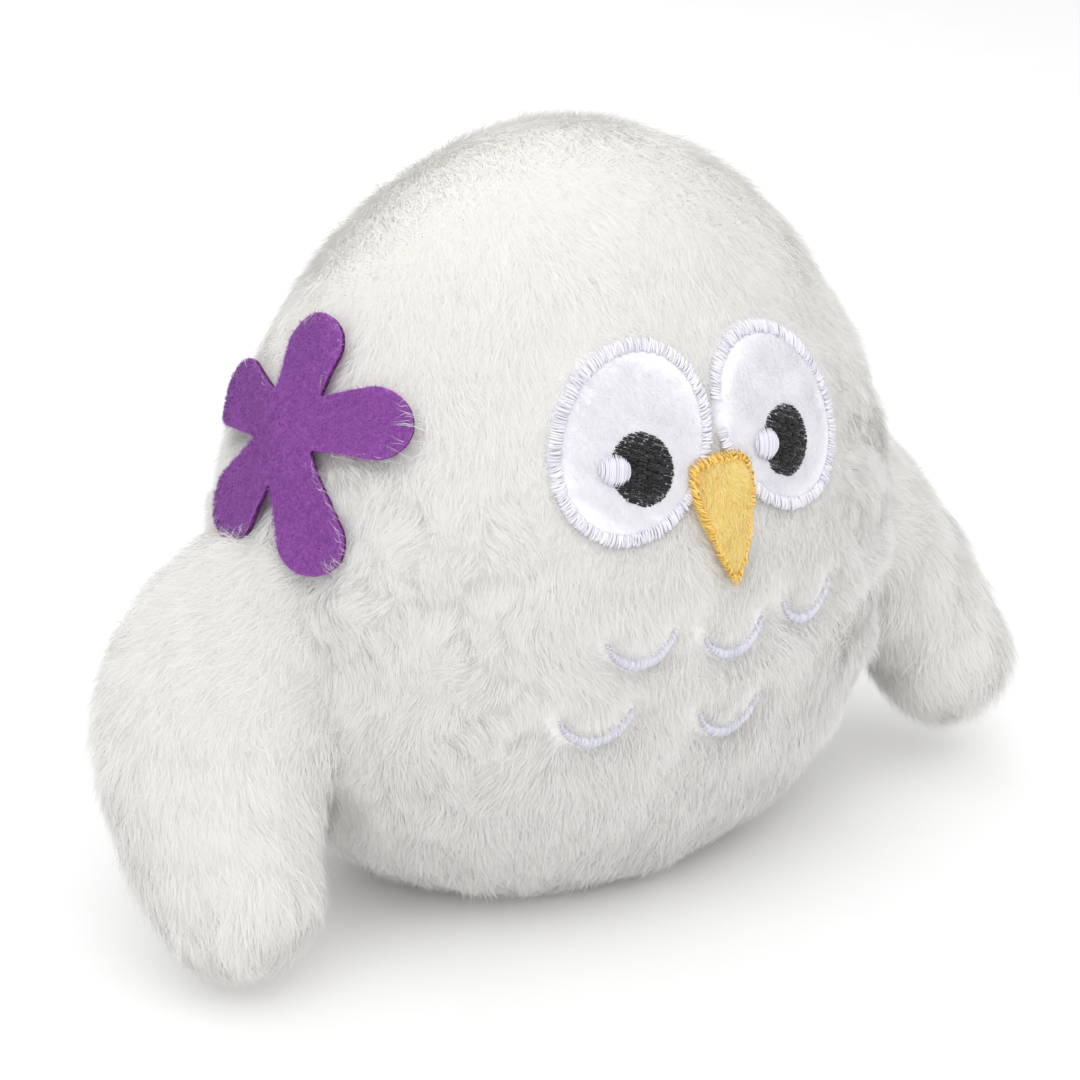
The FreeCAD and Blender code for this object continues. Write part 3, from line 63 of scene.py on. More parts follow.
# ---------------------------------------------------------------- the body's form
SKIN_LOW, SKIN_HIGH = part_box("front_skin")
HALF_WIDTH = SKIN_HIGH.x
HALF_DEPTH = -SKIN_LOW.y
WIDEST_Z = 73.0 * MM
RISE = SKIN_HIGH.z - WIDEST_Z
DROP = 77.5 * MM              # from the widest level to the egg's own tip, below the floor
UPPER_POWER = 1.90            # exponents of the two superellipse halves of the profile
LOWER_POWER = 2.36
FLOOR_GAP = 0.3 * MM

# ---------------------------------------------------------------- camera
CAMERA_AZIMUTH = math.radians(-35.595)
CAMERA_ELEVATION = math.radians(21.734)
CAMERA_ROLL = math.radians(-0.369)
CAMERA_DISTANCE = 775.84 * MM
CAMERA_LENS = 112.44
AIM_ACROSS = -3.49 * MM
AIM_HEIGHT = 73.07 * MM

# ---------------------------------------------------------------- pile
FIBRE_STEPS = (0.0, 0.5, 1.0)
FIBRE_TAPER = np.array([1.0, 0.8])
FIBRE_WIDTH = 0.155 * MM
FIBRES_PER_PIECE = 64000      # three triangles each
FIBRE_SPACING = 0.42 * MM
LOCK_SPACING = 1.6 * MM
TUFT_SPACING = 5.5 * MM
LOCK_SHARE = 0.25             # of a fibre's gathering that goes to its lock, and to its tuft
TUFT_SHARE = 0.75
PILE_LENGTH = 8.6 * MM
WING_PILE_LENGTH = 9.6 * MM
NAP_WIDTH = 0.15 * MM
FACING_SPREAD = 0.35          # how far a fibre's flat side may turn from the cloth
SOFT_SHADING = 0.80           # share of the cloth's own direction in a fibre's shading

# ---------------------------------------------------------------- face
EYE_LEAN = 0.20               # how far the tops of the eyes lean together, per unit of height
EYE_BORDER = 3.0 * MM
STITCH_PITCH = 0.62 * MM
STITCH_RADIUS = 0.24 * MM
SCALLOPS = [(-20.6, 67.0), (3.2, 64.2), (26.0, 66.0), (-30.4, 50.2), (3.0, 45.0)]
SCALLOP_HALF_WIDTH = 8.2 * MM
SCALLOP_DEPTH = 9.0 * MM
SCALLOP_BAND = 2.6 * MM

# ---------------------------------------------------------------- flower
FLOWER_CENTRE = Vector((-71.5, -6.6, 117.3)) * MM
FLOWER_NORMAL = Vector((-0.891, -0.154, 0.425)).normalized()
PETALS = [(91.0, 23.8), (19.0, 26.2), (-61.0, 30.2), (-119.0, 28.6), (171.0, 27.0)]
PETAL_TIP_RADIUS = 7.4 * MM
PETAL_NECK_RADIUS = 4.6 * MM
FELT_THICK = 1.7 * MM
FLOWER_HEIGHT = 4.4 * MM      # of the felt's underside over the skin: it lies on the pile
FELT_FUZZ_COUNT = 26000
FUZZ_WIDTH = 0.10 * MM

# ---------------------------------------------------------------- wings, as on the left side
WING_ROOT = np.array((65.1, -13.8, 75.4)) * MM
WING_BEND = np.array((95.9, 10.6, 64.1)) * MM
WING_TIPS = {-1: np.array((100.6, -22.3, 22.6)) * MM, 1: np.array((100.4, -22.3, 27.6)) * MM}
WING_HALF_CHORDS = np.array((24.1, 32.5, 15.5)) * MM
WING_HALF_THICKS = np.array((10.4, 15.5, 13.0)) * MM
WING_CHORD_ANGLE = math.radians(36.6)


# ================================================================ materials
def finish(name, colour, roughness, **sockets):
    """A surface with an even colour; the keywords are the shader's other sockets."""
    material = bpy.data.materials.new(name)
    material.use_nodes = True
    shader = material.node_tree.nodes["Principled BSDF"]
    shader.inputs["Base Color"].default_value = (*colour, 1.0)
    shader.inputs["Roughness"].default_value = roughness
    for socket, value in sockets.items():
        shader.inputs[socket.replace("_", " ")].default_value = value
    return material


def link(tree, source, output, target, socket):
    tree.links.new(source.outputs[output], target.inputs[socket])


def textured(material, darker, scale, bump, distance, detail=6.0, stretch=(1, 1, 1)):
    """Adds a fine uneven tone and relief to a finish; scale is in features per metre."""
    tree = material.node_tree
    nodes = tree.nodes
    shader = nodes["Principled BSDF"]
    place = nodes.new("ShaderNodeTexCoord")
    mapping = nodes.new("ShaderNodeMapping")
    mapping.inputs["Scale"].default_value = stretch
    link(tree, place, "Object", mapping, "Vector")
    noise = nodes.new("ShaderNodeTexNoise")
    noise.inputs["Scale"].default_value = scale
    noise.inputs["Detail"].default_value = detail
    link(tree, mapping, "Vector", noise, "Vector")
    ramp = nodes.new("ShaderNodeValToRGB")
    base = shader.inputs["Base Color"].default_value[:]
    ramp.color_ramp.elements[0].position = 0.35
    ramp.color_ramp.elements[0].color = (*darker, 1.0)
    ramp.color_ramp.elements[1].position = 0.65
    ramp.color_ramp.elements[1].color = base
    link(tree, noise, "Fac", ramp, "Fac")
    link(tree, ramp, "Color", shader, "Base Color")
    relief = nodes.new("ShaderNodeBump")
    relief.inputs["Strength"].default_value = bump
    relief.inputs["Distance"].default_value = distance
    link(tree, noise, "Fac", relief, "Height")
    link(tree, relief, "Normal", shader, "Normal")
    return material


def woven(material, darker, threads, bump, distance):
    """Adds a plain weave of crossing threads; threads are per metre."""
    tree = material.node_tree
    nodes = tree.nodes
    shader = nodes["Principled BSDF"]
    place = nodes.new("ShaderNodeTexCoord")
    bands = []
    for direction in ("X", "Y"):
        wave = nodes.new("ShaderNodeTexWave")
        wave.bands_direction = direction
        wave.inputs["Scale"].default_value = threads / 20.0
        wave.inputs["Distortion"].default_value = 0.6
        wave.inputs["Detail"].default_value = 1.0
        link(tree, place, "Object", wave, "Vector")
        bands.append(wave)
    crossed = nodes.new("ShaderNodeMath")
    crossed.operation = "MULTIPLY"
    link(tree, bands[0], "Fac", crossed, 0)
    link(tree, bands[1], "Fac", crossed, 1)
    ramp = nodes.new("ShaderNodeValToRGB")
    ramp.color_ramp.elements[0].color = (*darker, 1.0)
    ramp.color_ramp.elements[1].color = shader.inputs["Base Color"].default_value[:]
    link(tree, crossed, "Value", ramp, "Fac")
    link(tree, ramp, "Color", shader, "Base Color")
    relief = nodes.new("ShaderNodeBump")
    relief.inputs["Strength"].default_value = bump
    relief.inputs["Distance"].default_value = distance
    link(tree, crossed, "Value", relief, "Height")
    link(tree, relief, "Normal", shader, "Normal")
    return material


FABRIC = {"Sheen_Weight": 0.35, "Sheen_Roughness": 0.5, "Specular_IOR_Level": 0.2}
SATIN = {"Sheen_Weight": 0.2, "Specular_IOR_Level": 0.6, "Anisotropic": 0.5}

# The pile's tones sit well below the white fur's own colour: painted shade in place of the shadows that the fibres do
# not cast on each other.
PILE_TONES_WITH_PAINTED_SHADE = [(0.795, 0.786, 0.770), (0.765, 0.754, 0.736), (0.815, 0.807, 0.793)]
PILE = [finish(f"pile_{k}", tone, 0.7, **FABRIC) for k, tone in enumerate(PILE_TONES_WITH_PAINTED_SHADE)]
EYE_NAP = [finish(f"eye_nap_{k}", tone, 0.65, **FABRIC)
           for k, tone in enumerate([(0.90, 0.895, 0.925), (0.86, 0.855, 0.895)])]
BEAK_NAP = [finish(f"beak_nap_{k}", tone, 0.65, **FABRIC)
            for k, tone in enumerate([(0.97, 0.79, 0.29), (0.97, 0.84, 0.39), (0.94, 0.70, 0.18)])]
FELT_FUZZ = [finish(f"felt_fuzz_{k}", tone, 0.85, Specular_IOR_Level=0.1)
             for k, tone in enumerate([(0.30, 0.085, 0.40), (0.36, 0.13, 0.46)])]
BACKING = textured(finish("pile_backing", (0.93, 0.92, 0.90), 0.85, **FABRIC),
                   (0.86, 0.85, 0.82), 900, 0.4, 0.4 * MM)
LINING = woven(finish("flap_lining", (0.88, 0.88, 0.86), 0.8, **FABRIC), (0.72, 0.72, 0.70), 2600, 0.5, 0.2 * MM)
BASE_CLOTH = woven(finish("base_weave", (0.86, 0.85, 0.82), 0.85, **FABRIC),
                   (0.70, 0.69, 0.66), 1800, 0.6, 0.3 * MM)
FILL = textured(finish("fibre_fill", (0.93, 0.93, 0.92), 0.9, **FABRIC), (0.82, 0.82, 0.81), 260, 0.8, 1.5 * MM)
EYE_CLOTH = textured(finish("eye_cloth", (0.90, 0.895, 0.925), 0.7, **FABRIC), (0.86, 0.855, 0.895), 1500, 0.3, 0.2 * MM)
BEAK_CLOTH = textured(finish("beak_cloth", (0.93, 0.72, 0.23), 0.7, **FABRIC), (0.88, 0.62, 0.15), 1500, 0.3, 0.2 * MM)
# The white thread's tones run from its lit value to a bluish shaded one and go at random to the stitches: painted
# highlight and painted shade.
WHITE_THREAD_LIT_AND_SHADED = [finish(f"white_thread_{k}", tone, 0.38, **SATIN)
                for k, tone in enumerate([(0.86, 0.85, 0.90), (0.82, 0.81, 0.87), (0.72, 0.71, 0.79)])]
GLINT_THREAD = [finish(f"glint_thread_{k}", tone, 0.36, **SATIN)
                for k, tone in enumerate([(0.80, 0.79, 0.86), (0.70, 0.69, 0.78)])]
LAVENDER_THREAD = [finish(f"lavender_thread_{k}", tone, 0.38, **SATIN)
                   for k, tone in enumerate([(0.70, 0.70, 0.78), (0.62, 0.62, 0.72)])]
BLACK_THREAD = [finish(f"black_thread_{k}", tone, 0.48, Specular_IOR_Level=0.35)
                for k, tone in enumerate([(0.010, 0.010, 0.011), (0.010, 0.010, 0.011), (0.032, 0.032, 0.036)])]
GOLD_THREAD = [finish(f"gold_thread_{k}", tone, 0.40, **SATIN)
               for k, tone in enumerate([(0.88, 0.54, 0.08), (0.92, 0.64, 0.15)])]
FELT = textured(finish("purple_felt", (0.41, 0.125, 0.52), 0.92, Sheen_Weight=0.15, Sheen_Roughness=0.6,
                       Specular_IOR_Level=0.1), (0.22, 0.050, 0.31), 1500, 1.0, 0.4 * MM, detail=9.0)
FELT_EDGE = textured(finish("felt_cut_edge", (0.13, 0.03, 0.15), 0.95, Specular_IOR_Level=0.1),
                     (0.07, 0.015, 0.08), 1800, 0.8, 0.3 * MM)


def moulding(name, colour, roughness, **sockets):
    """Moulded plastic with the faint grain of its tool."""
    darker = tuple(0.86 * c for c in colour)
    return textured(finish(name, colour, roughness, **sockets), darker, 700, 0.12, 0.08 * MM)


def metal(name, colour, roughness, scale, stretch):
    """Drawn or turned metal with fine lines along one way."""
    darker = tuple(0.80 * c for c in colour)
    made = finish(name, colour, roughness, Metallic=1.0, Anisotropic=0.4)
    return textured(made, darker, scale, 0.15, 0.05 * MM, stretch=stretch)


TAPE = textured(finish("hook_loop_tape", (0.82, 0.82, 0.82), 0.8, **FABRIC), (0.55, 0.55, 0.55), 1400, 1.0, 0.6 * MM)
NODE_FINISHES = {
    "hook_loop_tape": TAPE,
    "case_plastic": moulding("case_moulding", (0.035, 0.037, 0.042), 0.42),
    "door_plastic": moulding("door_moulding", (0.045, 0.048, 0.055), 0.38),
    "black_plastic": moulding("black_moulding", (0.012, 0.012, 0.014), 0.35),
    "white_acetal": moulding("white_acetal", (0.80, 0.80, 0.77), 0.32),
    "red_acetal": moulding("red_acetal", (0.48, 0.03, 0.02), 0.30),
    "zinc_steel": metal("zinc_plate", (0.58, 0.59, 0.61), 0.32, 900, (1, 1, 1)),
    "motor_steel": metal("motor_steel", (0.46, 0.47, 0.49), 0.30, 1200, (0.1, 1, 1)),
    "ferrite": textured(finish("ferrite", (0.02, 0.02, 0.022), 0.65), (0.01, 0.01, 0.011), 1600, 0.5, 0.1 * MM),
    "brass": metal("turned_brass", (0.62, 0.40, 0.12), 0.25, 1500, (1, 0.1, 1)),
    "board_green": textured(finish("board_lacquer", (0.01, 0.10, 0.04), 0.25, Coat_Weight=0.6),
                            (0.006, 0.065, 0.025), 500, 0.2, 0.05 * MM),
    "cone_paper": textured(finish("cone_paper", (0.02, 0.02, 0.022), 0.9), (0.01, 0.01, 0.011), 2200, 0.8, 0.15 * MM),
    "cell_jacket": textured(finish("cell_jacket", (0.02, 0.07, 0.22), 0.22, Coat_Weight=0.5),
                            (0.015, 0.05, 0.17), 300, 0.1, 0.05 * MM),
    "lead_insulation": moulding("lead_insulation", (0.42, 0.015, 0.012), 0.4),
}


def dress_nodes():
    """Gives every CAD piece that stays in view its own finish."""
    for part in frame["record"]["subparts"]:
        made = NODE_FINISHES.get(part["material_slot"])
        if made is None:
            continue
        node = frame["nodes"][part["node"]]
        for slot in node.material_slots:
            slot.material = made
        if not node.material_slots:
            node.data.materials.append(made)


# ================================================================ meshes from arrays
def unit(vectors):
    return vectors / np.maximum(np.linalg.norm(vectors, axis=-1, keepdims=True), 1e-12)


def make_piece(name, verts, faces, materials, material_index=None):
    """An object from points and a list of face arrays, one for each number of corners."""
    mesh = bpy.data.meshes.new(name)
    mesh.vertices.add(len(verts))
    mesh.vertices.foreach_set("co", np.asarray(verts, np.float32).ravel())
    corners = np.concatenate([f.ravel() for f in faces]).astype(np.int32)
    sizes = np.concatenate([np.full(len(f), f.shape[1]) for f in faces])
    mesh.loops.add(len(corners))
    mesh.loops.foreach_set("vertex_index", corners)
    mesh.polygons.add(len(sizes))
    mesh.polygons.foreach_set("loop_start", (np.cumsum(sizes) - sizes).astype(np.int32))
    mesh.polygons.foreach_set("use_smooth", np.ones(len(sizes), bool))
    if material_index is not None:
        mesh.polygons.foreach_set("material_index", material_index.astype(np.int32))
    mesh.update(calc_edges=True)
    for material in materials:
        mesh.materials.append(material)
    piece = bpy.data.objects.new(name, mesh)
    bpy.context.scene.collection.objects.link(piece)
    return piece


def points_of(mesh):
    co = np.zeros(len(mesh.vertices) * 3)
    mesh.vertices.foreach_get("co", co)
    return co.reshape(-1, 3)


def triangles_of(piece):
    """Corner numbers of the piece's triangles."""
    mesh = piece.data
    mesh.calc_loop_triangles()
    corners = np.zeros(len(mesh.loop_triangles) * 3, np.int32)
    mesh.loop_triangles.foreach_get("vertices", corners)
    return corners.reshape(-1, 3)


def grid_faces(rows, columns, closed=True):
    """Quads of a grid whose columns run round in a ring if it is closed."""
    across = columns if closed else columns - 1
    i, j = np.meshgrid(np.arange(rows - 1), np.arange(across), indexing="ij")
    k = (j + 1) % columns
    a, b = i * columns + j, i * columns + k
    return np.stack([a, b, b + columns, a + columns], axis=-1).reshape(-1, 4)


def tubes(paths, radius, sides=6, tip=0.35):
    """Thin closed tubes along an array of threads x points x 3."""
    count, steps, _ = paths.shape
    along = unit(np.gradient(paths, axis=1))
    side = unit(np.cross(along, np.array([0.31, 0.87, 0.38])))
    other = np.cross(along, side)
    t = np.linspace(-1, 1, steps)
    swell = radius * (tip + (1 - tip) * np.sqrt(1 - t ** 6))
    angle = np.linspace(0, 2 * math.pi, sides, endpoint=False)
    ring = (np.cos(angle)[:, None] * side[:, :, None] + np.sin(angle)[:, None] * other[:, :, None])
    verts = paths[:, :, None] + ring * swell[None, :, None, None]
    start = (np.arange(count) * steps * sides)[:, None, None]
    walls = (grid_faces(steps, sides)[None] + start).reshape(-1, 4)
    first = np.arange(sides)[::-1][None] + start[:, 0]
    last = np.arange(sides)[None] + (steps - 1) * sides + start[:, 0]
    return verts.reshape(-1, 3), [walls, np.concatenate([first, last])]


def thread_piece(name, paths, radius, materials, rng, sides=6):
    """Many stitches as one piece, each with one of the thread's tones."""
    verts, faces = tubes(paths, radius, sides)
    tone = rng.integers(0, len(materials), len(paths))
    walls_each = len(faces[0]) // len(paths)
    index = np.concatenate([np.repeat(tone, walls_each), tone, tone])
    return make_piece(name, verts, faces, materials, index)


# ================================================================ the egg
def egg_half(z, offset):
    """Half width of the body at a level, grown by offset."""
    upper = z > WIDEST_Z
    t = np.where(upper, (z - WIDEST_Z) / (RISE + offset), (WIDEST_Z - z) / (DROP + offset))
    power = np.where(upper, UPPER_POWER, LOWER_POWER)
    t = np.clip(t, 0, 1)
    return (HALF_WIDTH + offset) * (1 - t ** power) ** (1 / power)


def on_body(x, z, offset, side=-1):
    """Points on the front (side -1) or the back (side 1) of the body."""
    x, z, offset = np.broadcast_arrays(x, z, offset)
    half = egg_half(z, offset)
    squeeze = (HALF_DEPTH + offset) / (HALF_WIDTH + offset)
    y = side * squeeze * np.sqrt(np.maximum(half ** 2 - x ** 2, 0))
    return np.stack([x, y, z], axis=-1)


def body_normals(points):
    """The way out of the body at points on or near it."""
    x, y, z = points.T
    squeeze = HALF_DEPTH / HALF_WIDTH
    reach = np.sqrt(x ** 2 + (y / squeeze) ** 2) + 1e-9
    step = 0.2 * MM
    slope = (egg_half(z + step, 0.0) - egg_half(z - step, 0.0)) / (2 * step)
    return unit(np.stack([x / reach, y / reach / squeeze ** 2, -slope], axis=-1))


def body_depth(points, offset):
    """How far points are outside the body grown by offset, measured across it; below 0 inside."""
    squeeze = (HALF_DEPTH + offset) / (HALF_WIDTH + offset)
    reach = np.sqrt(points[:, 0] ** 2 + (points[:, 1] / squeeze) ** 2)
    return reach - egg_half(points[:, 2], offset)


def drop_on_body(points, direction, offset):
    """Moves points against direction until they are offset from the skin."""
    low = np.full(len(points), -60.0 * MM)
    high = np.full(len(points), 60.0 * MM)
    for _ in range(30):
        middle = (low + high) / 2
        outside = body_depth(points + middle[:, None] * direction, 0.0) > 0
        high = np.where(outside, middle, high)
        low = np.where(outside, low, middle)
    landed = points + high[:, None] * direction
    return landed + body_normals(landed) * np.asarray(offset).reshape(-1, 1)


# ================================================================ pile
def waves(points, size, seed):
    """A smooth random vector field of about unit strength whose features are size across."""
    rng = np.random.default_rng(seed)
    total = np.zeros((len(points), 3))
    for _ in range(6):
        direction = rng.normal(size=3)
        direction *= 2 * math.pi * rng.uniform(0.6, 1.4) / (size * np.linalg.norm(direction))
        total += np.sin((points @ direction)[:, None] + rng.random(3) * 2 * math.pi)
    return total / math.sqrt(3)


def smooth(low, high, value):
    t = np.clip((value - low) / (high - low), 0, 1)
    return t * t * (3 - 2 * t)


def flatten(vectors, normals):
    """The part of each vector that lies along the surface, at unit length."""
    return unit(vectors - normals * np.sum(vectors * normals, axis=1, keepdims=True))


def scatter(verts, tris, normals, count, rng):
    """Points spread evenly over triangles, with the surface's normals there."""
    a, b, c = (verts[tris[:, k]] for k in range(3))
    area = np.linalg.norm(np.cross(b - a, c - a), axis=1)
    chosen = rng.choice(len(tris), count, p=area / area.sum())
    u, v = rng.random((2, count, 1))
    over = u + v > 1
    u, v = np.where(over, 1 - u, u), np.where(over, 1 - v, v)
    w = 1 - u - v
    places = a[chosen] * w + b[chosen] * u + c[chosen] * v
    na, nb, nc = (normals[tris[chosen, k]] for k in range(3))
    return places, unit(na * w + nb * u + nc * v)


def vertex_normals(verts, tris):
    total = np.zeros_like(verts)
    face = np.cross(verts[tris[:, 1]] - verts[tris[:, 0]], verts[tris[:, 2]] - verts[tris[:, 0]])
    for k in range(3):
        np.add.at(total, tris[:, k], face)
    return unit(total)


def grow(roots, normals, comb, length, lift, curl, rng):
    """Centre lines of fibres: each rises from the cloth and then lies over the way it is combed."""
    t = np.array(FIBRE_STEPS)[None, :, None]
    lift = lift[:, None]
    length = length[:, None]
    tip = roots + length * (normals * lift + comb * np.sqrt(1 - lift ** 2))
    middle = roots + length * (normals * (0.30 + 0.35 * lift) + comb * 0.22)
    lines = roots[:, None] * (1 - t) ** 2 + middle[:, None] * 2 * t * (1 - t) + tip[:, None] * t ** 2
    across = np.cross(normals, comb)
    bend = rng.normal(size=(len(roots), 1)) * across + rng.normal(size=(len(roots), 1)) * normals
    return lines + (curl[:, None] * bend)[:, None] * np.sin(t * math.pi * 1.3) * t


def gather(lines, leaders, pull):
    """Draws each fibre towards its nearest leader, most at the tip."""
    tree = KDTree(len(leaders))
    for number, leader in enumerate(leaders):
        tree.insert(leader[0], number)
    tree.balance()
    nearest = np.array([tree.find(root)[1] for root in lines[:, 0]])
    share = pull[:, None, None] * (np.array(FIBRE_STEPS) ** 1.2)[None, :, None]
    return lines * (1 - share) + leaders[nearest] * share


def ribbon_mesh(name, lines, normals, width, materials, rng):
    """Fibres as narrow ribbons that taper to a point, each with one of the tones."""
    count = len(lines)
    along = unit(lines[:, -1] - lines[:, 0])
    facing = normals + FACING_SPREAD * unit(rng.normal(size=(count, 3)))
    side = unit(np.cross(along, facing))
    half = width * rng.uniform(0.75, 1.25, (count, 1, 1)) / 2
    spread = side[:, None] * half * FIBRE_TAPER[None, :, None]
    left, right = lines[:, :-1] - spread, lines[:, :-1] + spread
    verts = np.concatenate([np.stack([left, right], axis=2).reshape(count, -1, 3), lines[:, -1:]], axis=1)
    each = verts.shape[1]
    start = (np.arange(count) * each)[:, None]
    quads = np.concatenate([start + np.array([k, k + 1, k + 3, k + 2]) for k in range(0, each - 3, 2)])
    tips = start + np.array([each - 3, each - 2, each - 1])
    tone = rng.integers(0, len(materials), count)
    piece = make_piece(name, verts.reshape(-1, 3), [quads, tips], materials, np.tile(tone, len(FIBRE_STEPS) - 1))
    own = unit(np.cross(side, along))
    shading = unit(SOFT_SHADING * normals + (1 - SOFT_SHADING) * own)
    piece.data.normals_split_custom_set_from_vertices(np.repeat(shading, each, axis=0))
    return piece


def pile(name, sample, area, rule, materials, seed):
    """A coat of fibres.  sample spreads roots; rule gives the fibres' habit at some roots."""
    rng = np.random.default_rng(seed)

    def stand(spacing, spread):
        roots, normals = sample(int(area / spacing ** 2), rng)
        comb, length, lift, curl, pull = rule(roots, normals)
        comb = flatten(comb + spread * rng.normal(size=roots.shape), normals)
        length = length * rng.uniform(0.72, 1.12, len(roots))
        lift = np.clip(lift + 0.25 * spread * rng.normal(size=len(roots)), 0.05, 0.95)
        return grow(roots, normals, comb, length, lift, curl, rng), normals, pull

    tufts, _, _ = stand(TUFT_SPACING, 0.30)
    locks, _, _ = stand(LOCK_SPACING, 0.30)
    lines, normals, pull = stand(FIBRE_SPACING, 0.40)
    lines = gather(lines, locks, LOCK_SHARE * pull)
    lines = gather(lines, tufts, TUFT_SHARE * pull)
    lines[..., 2] = np.maximum(lines[..., 2], FLOOR_GAP)
    pieces = []
    order = np.argsort(np.arctan2(lines[:, 0, 0], -lines[:, 0, 1]), kind="stable")
    for part in np.array_split(order, math.ceil(len(order) / FIBRES_PER_PIECE)):
        title = f"{name}_{len(pieces) + 1}"
        pieces.append(ribbon_mesh(title, lines[part], normals[part], FIBRE_WIDTH, materials, rng))
        pieces[-1].visible_shadow = False    # light goes through fine fibres, so they cast no shadow; the pile's darker tones paint in their shade
    return pieces


def area_of(verts, tris):
    a, b, c = (verts[tris[:, k]] for k in range(3))
    return float(np.linalg.norm(np.cross(b - a, c - a), axis=1).sum()) / 2


# ================================================================ outlines
def eye_facts(side):
    """Centre, half width and half height of an eye."""
    low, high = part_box(f"eye_border_{side}")
    return (low + high) / 2, (high.x - low.x) / 2, (high.z - low.z) / 2


def eye_outline(side, inset, steps):
    """The eye's leaning oval, as (x, z) points."""
    centre, half_width, half_height = eye_facts(side)
    angle = np.linspace(0, 2 * math.pi, steps, endpoint=False)
    lean = EYE_LEAN * -WINGS[side]
    tall = half_height - inset
    slim = math.sqrt((half_width - inset) ** 2 - (EYE_LEAN * tall) ** 2)
    z = tall * np.sin(angle)
    return np.stack([centre.x + slim * np.cos(angle) + lean * z, centre.z + z], axis=-1)


def eye_share(side, x, z):
    """1 on the eye's outline, less inside, more outside."""
    centre, half_width, half_height = eye_facts(side)
    lean = EYE_LEAN * -WINGS[side]
    slim = math.sqrt(half_width ** 2 - (EYE_LEAN * half_height) ** 2)
    dx = (x - centre.x - lean * (z - centre.z)) / slim
    return np.sqrt(dx ** 2 + ((z - centre.z) / half_height) ** 2)


def oval(centre, half_width, half_height, steps):
    angle = np.linspace(0, 2 * math.pi, steps, endpoint=False)
    return np.stack([centre.x + half_width * np.cos(angle), centre.z + half_height * np.sin(angle)], axis=-1)


BEAK_LOW, BEAK_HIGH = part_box("beak_border")
BEAK_SIDE = [(0.50, -0.02), (0.86, 0.0), (1.0, 0.12), (0.97, 0.26), (0.84, 0.42), (0.60, 0.62), (0.34, 0.82), (0.10, 0.98)]
BEAK_LEAN = 1.6 * MM


def beak_outline(inset):
    """A shield with a gently arched top that narrows to the tip, as (x, z) points."""
    middle = (BEAK_LOW.x + BEAK_HIGH.x) / 2
    wide = (BEAK_HIGH.x - BEAK_LOW.x) / 2 - inset
    top, tip = BEAK_HIGH.z - inset, BEAK_LOW.z + 2.0 * inset
    length = top - tip
    below = [top - (0.03 + 0.97 * d) * length for _, d in BEAK_SIDE]
    down = [(middle + wide * w + BEAK_LEAN * d, z) for (w, d), z in zip(BEAK_SIDE, below)]
    up = [(middle - wide * w + BEAK_LEAN * d, z) for (w, d), z in zip(BEAK_SIDE, below)]
    crest = [(middle, top)]
    corners = np.array(down + [(middle + BEAK_LEAN, tip)] + up[::-1] + crest)
    return resampled(corners, 96)


def resampled(corners, steps):
    """A closed smooth curve through corners, evenly divided."""
    for _ in range(3):
        following = np.roll(corners, -1, axis=0)
        corners = np.stack([0.75 * corners + 0.25 * following, 0.25 * corners + 0.75 * following], axis=1)
        corners = corners.reshape(-1, 2)
    closed = np.concatenate([corners, corners[:1]])
    run = np.concatenate([[0], np.cumsum(np.linalg.norm(np.diff(closed, axis=0), axis=1))])
    at = np.linspace(0, run[-1], steps, endpoint=False)
    return np.stack([np.interp(at, run, closed[:, k]) for k in (0, 1)], axis=-1)


def polygon_inside(outline, x, z):
    """True where points lie inside a closed outline."""
    inside = np.zeros(len(x), bool)
    for (x0, z0), (x1, z1) in zip(outline, np.roll(outline, -1, axis=0)):
        crosses = (z0 > z) != (z1 > z)
        inside ^= crosses & (x < (x1 - x0) * (z - z0) / (z1 - z0 + 1e-15) + x0)
    return inside


def crescent(x, bottom, steps):
    """Lower (outer) and upper (inner) edge of a chest feather, from tip to tip."""
    angle = np.linspace(math.pi * 1.04, math.pi * 1.96, steps)
    centre = bottom + SCALLOP_DEPTH
    outer = np.stack([x + SCALLOP_HALF_WIDTH * np.cos(angle), centre + SCALLOP_DEPTH * np.sin(angle)], axis=-1)
    band = SCALLOP_BAND * np.sin(np.linspace(0, math.pi, steps)) ** 0.7
    inner = outer.copy()
    inner[:, 1] += band
    inner[:, 0] -= 0.35 * band * np.cos(angle)
    return outer, inner


# ================================================================ pads and stitches on the face
def pad(name, outline, low, high, material, rings=14, edge=8.0, side=-1):
    """A closed crowned pad on the body inside an outline of (x, z) points."""
    centre = outline.mean(axis=0)
    share = np.linspace(1, 0, rings)[:-1] ** 0.8
    places = centre + share[:, None, None] * (outline - centre)
    height = low + (high - low) * (1 - share ** edge)
    top = on_body(places[..., 0], places[..., 1], height[:, None], side)
    rim = on_body(outline[:, 0], outline[:, 1], low - 0.5 * MM, side)
    steps = len(outline)
    middle = [on_body(*centre, high, side), on_body(*centre, low - 0.5 * MM, side)]
    verts = np.concatenate([rim, top.reshape(-1, 3), middle])
    ring = np.arange(steps)
    following = np.roll(ring, -1)
    last = (rings - 1) * steps
    peak, floor = len(verts) - 2, len(verts) - 1
    quads = grid_faces(rings, steps)
    cap = np.stack([ring + last, following + last, np.full(steps, peak)], axis=-1)
    under = np.stack([following, ring, np.full(steps, floor)], axis=-1)
    if side > 0:
        quads, cap, under = quads[:, ::-1], cap[:, ::-1], under[:, ::-1]
    return make_piece(name, verts, [quads, np.concatenate([cap, under])], [material])


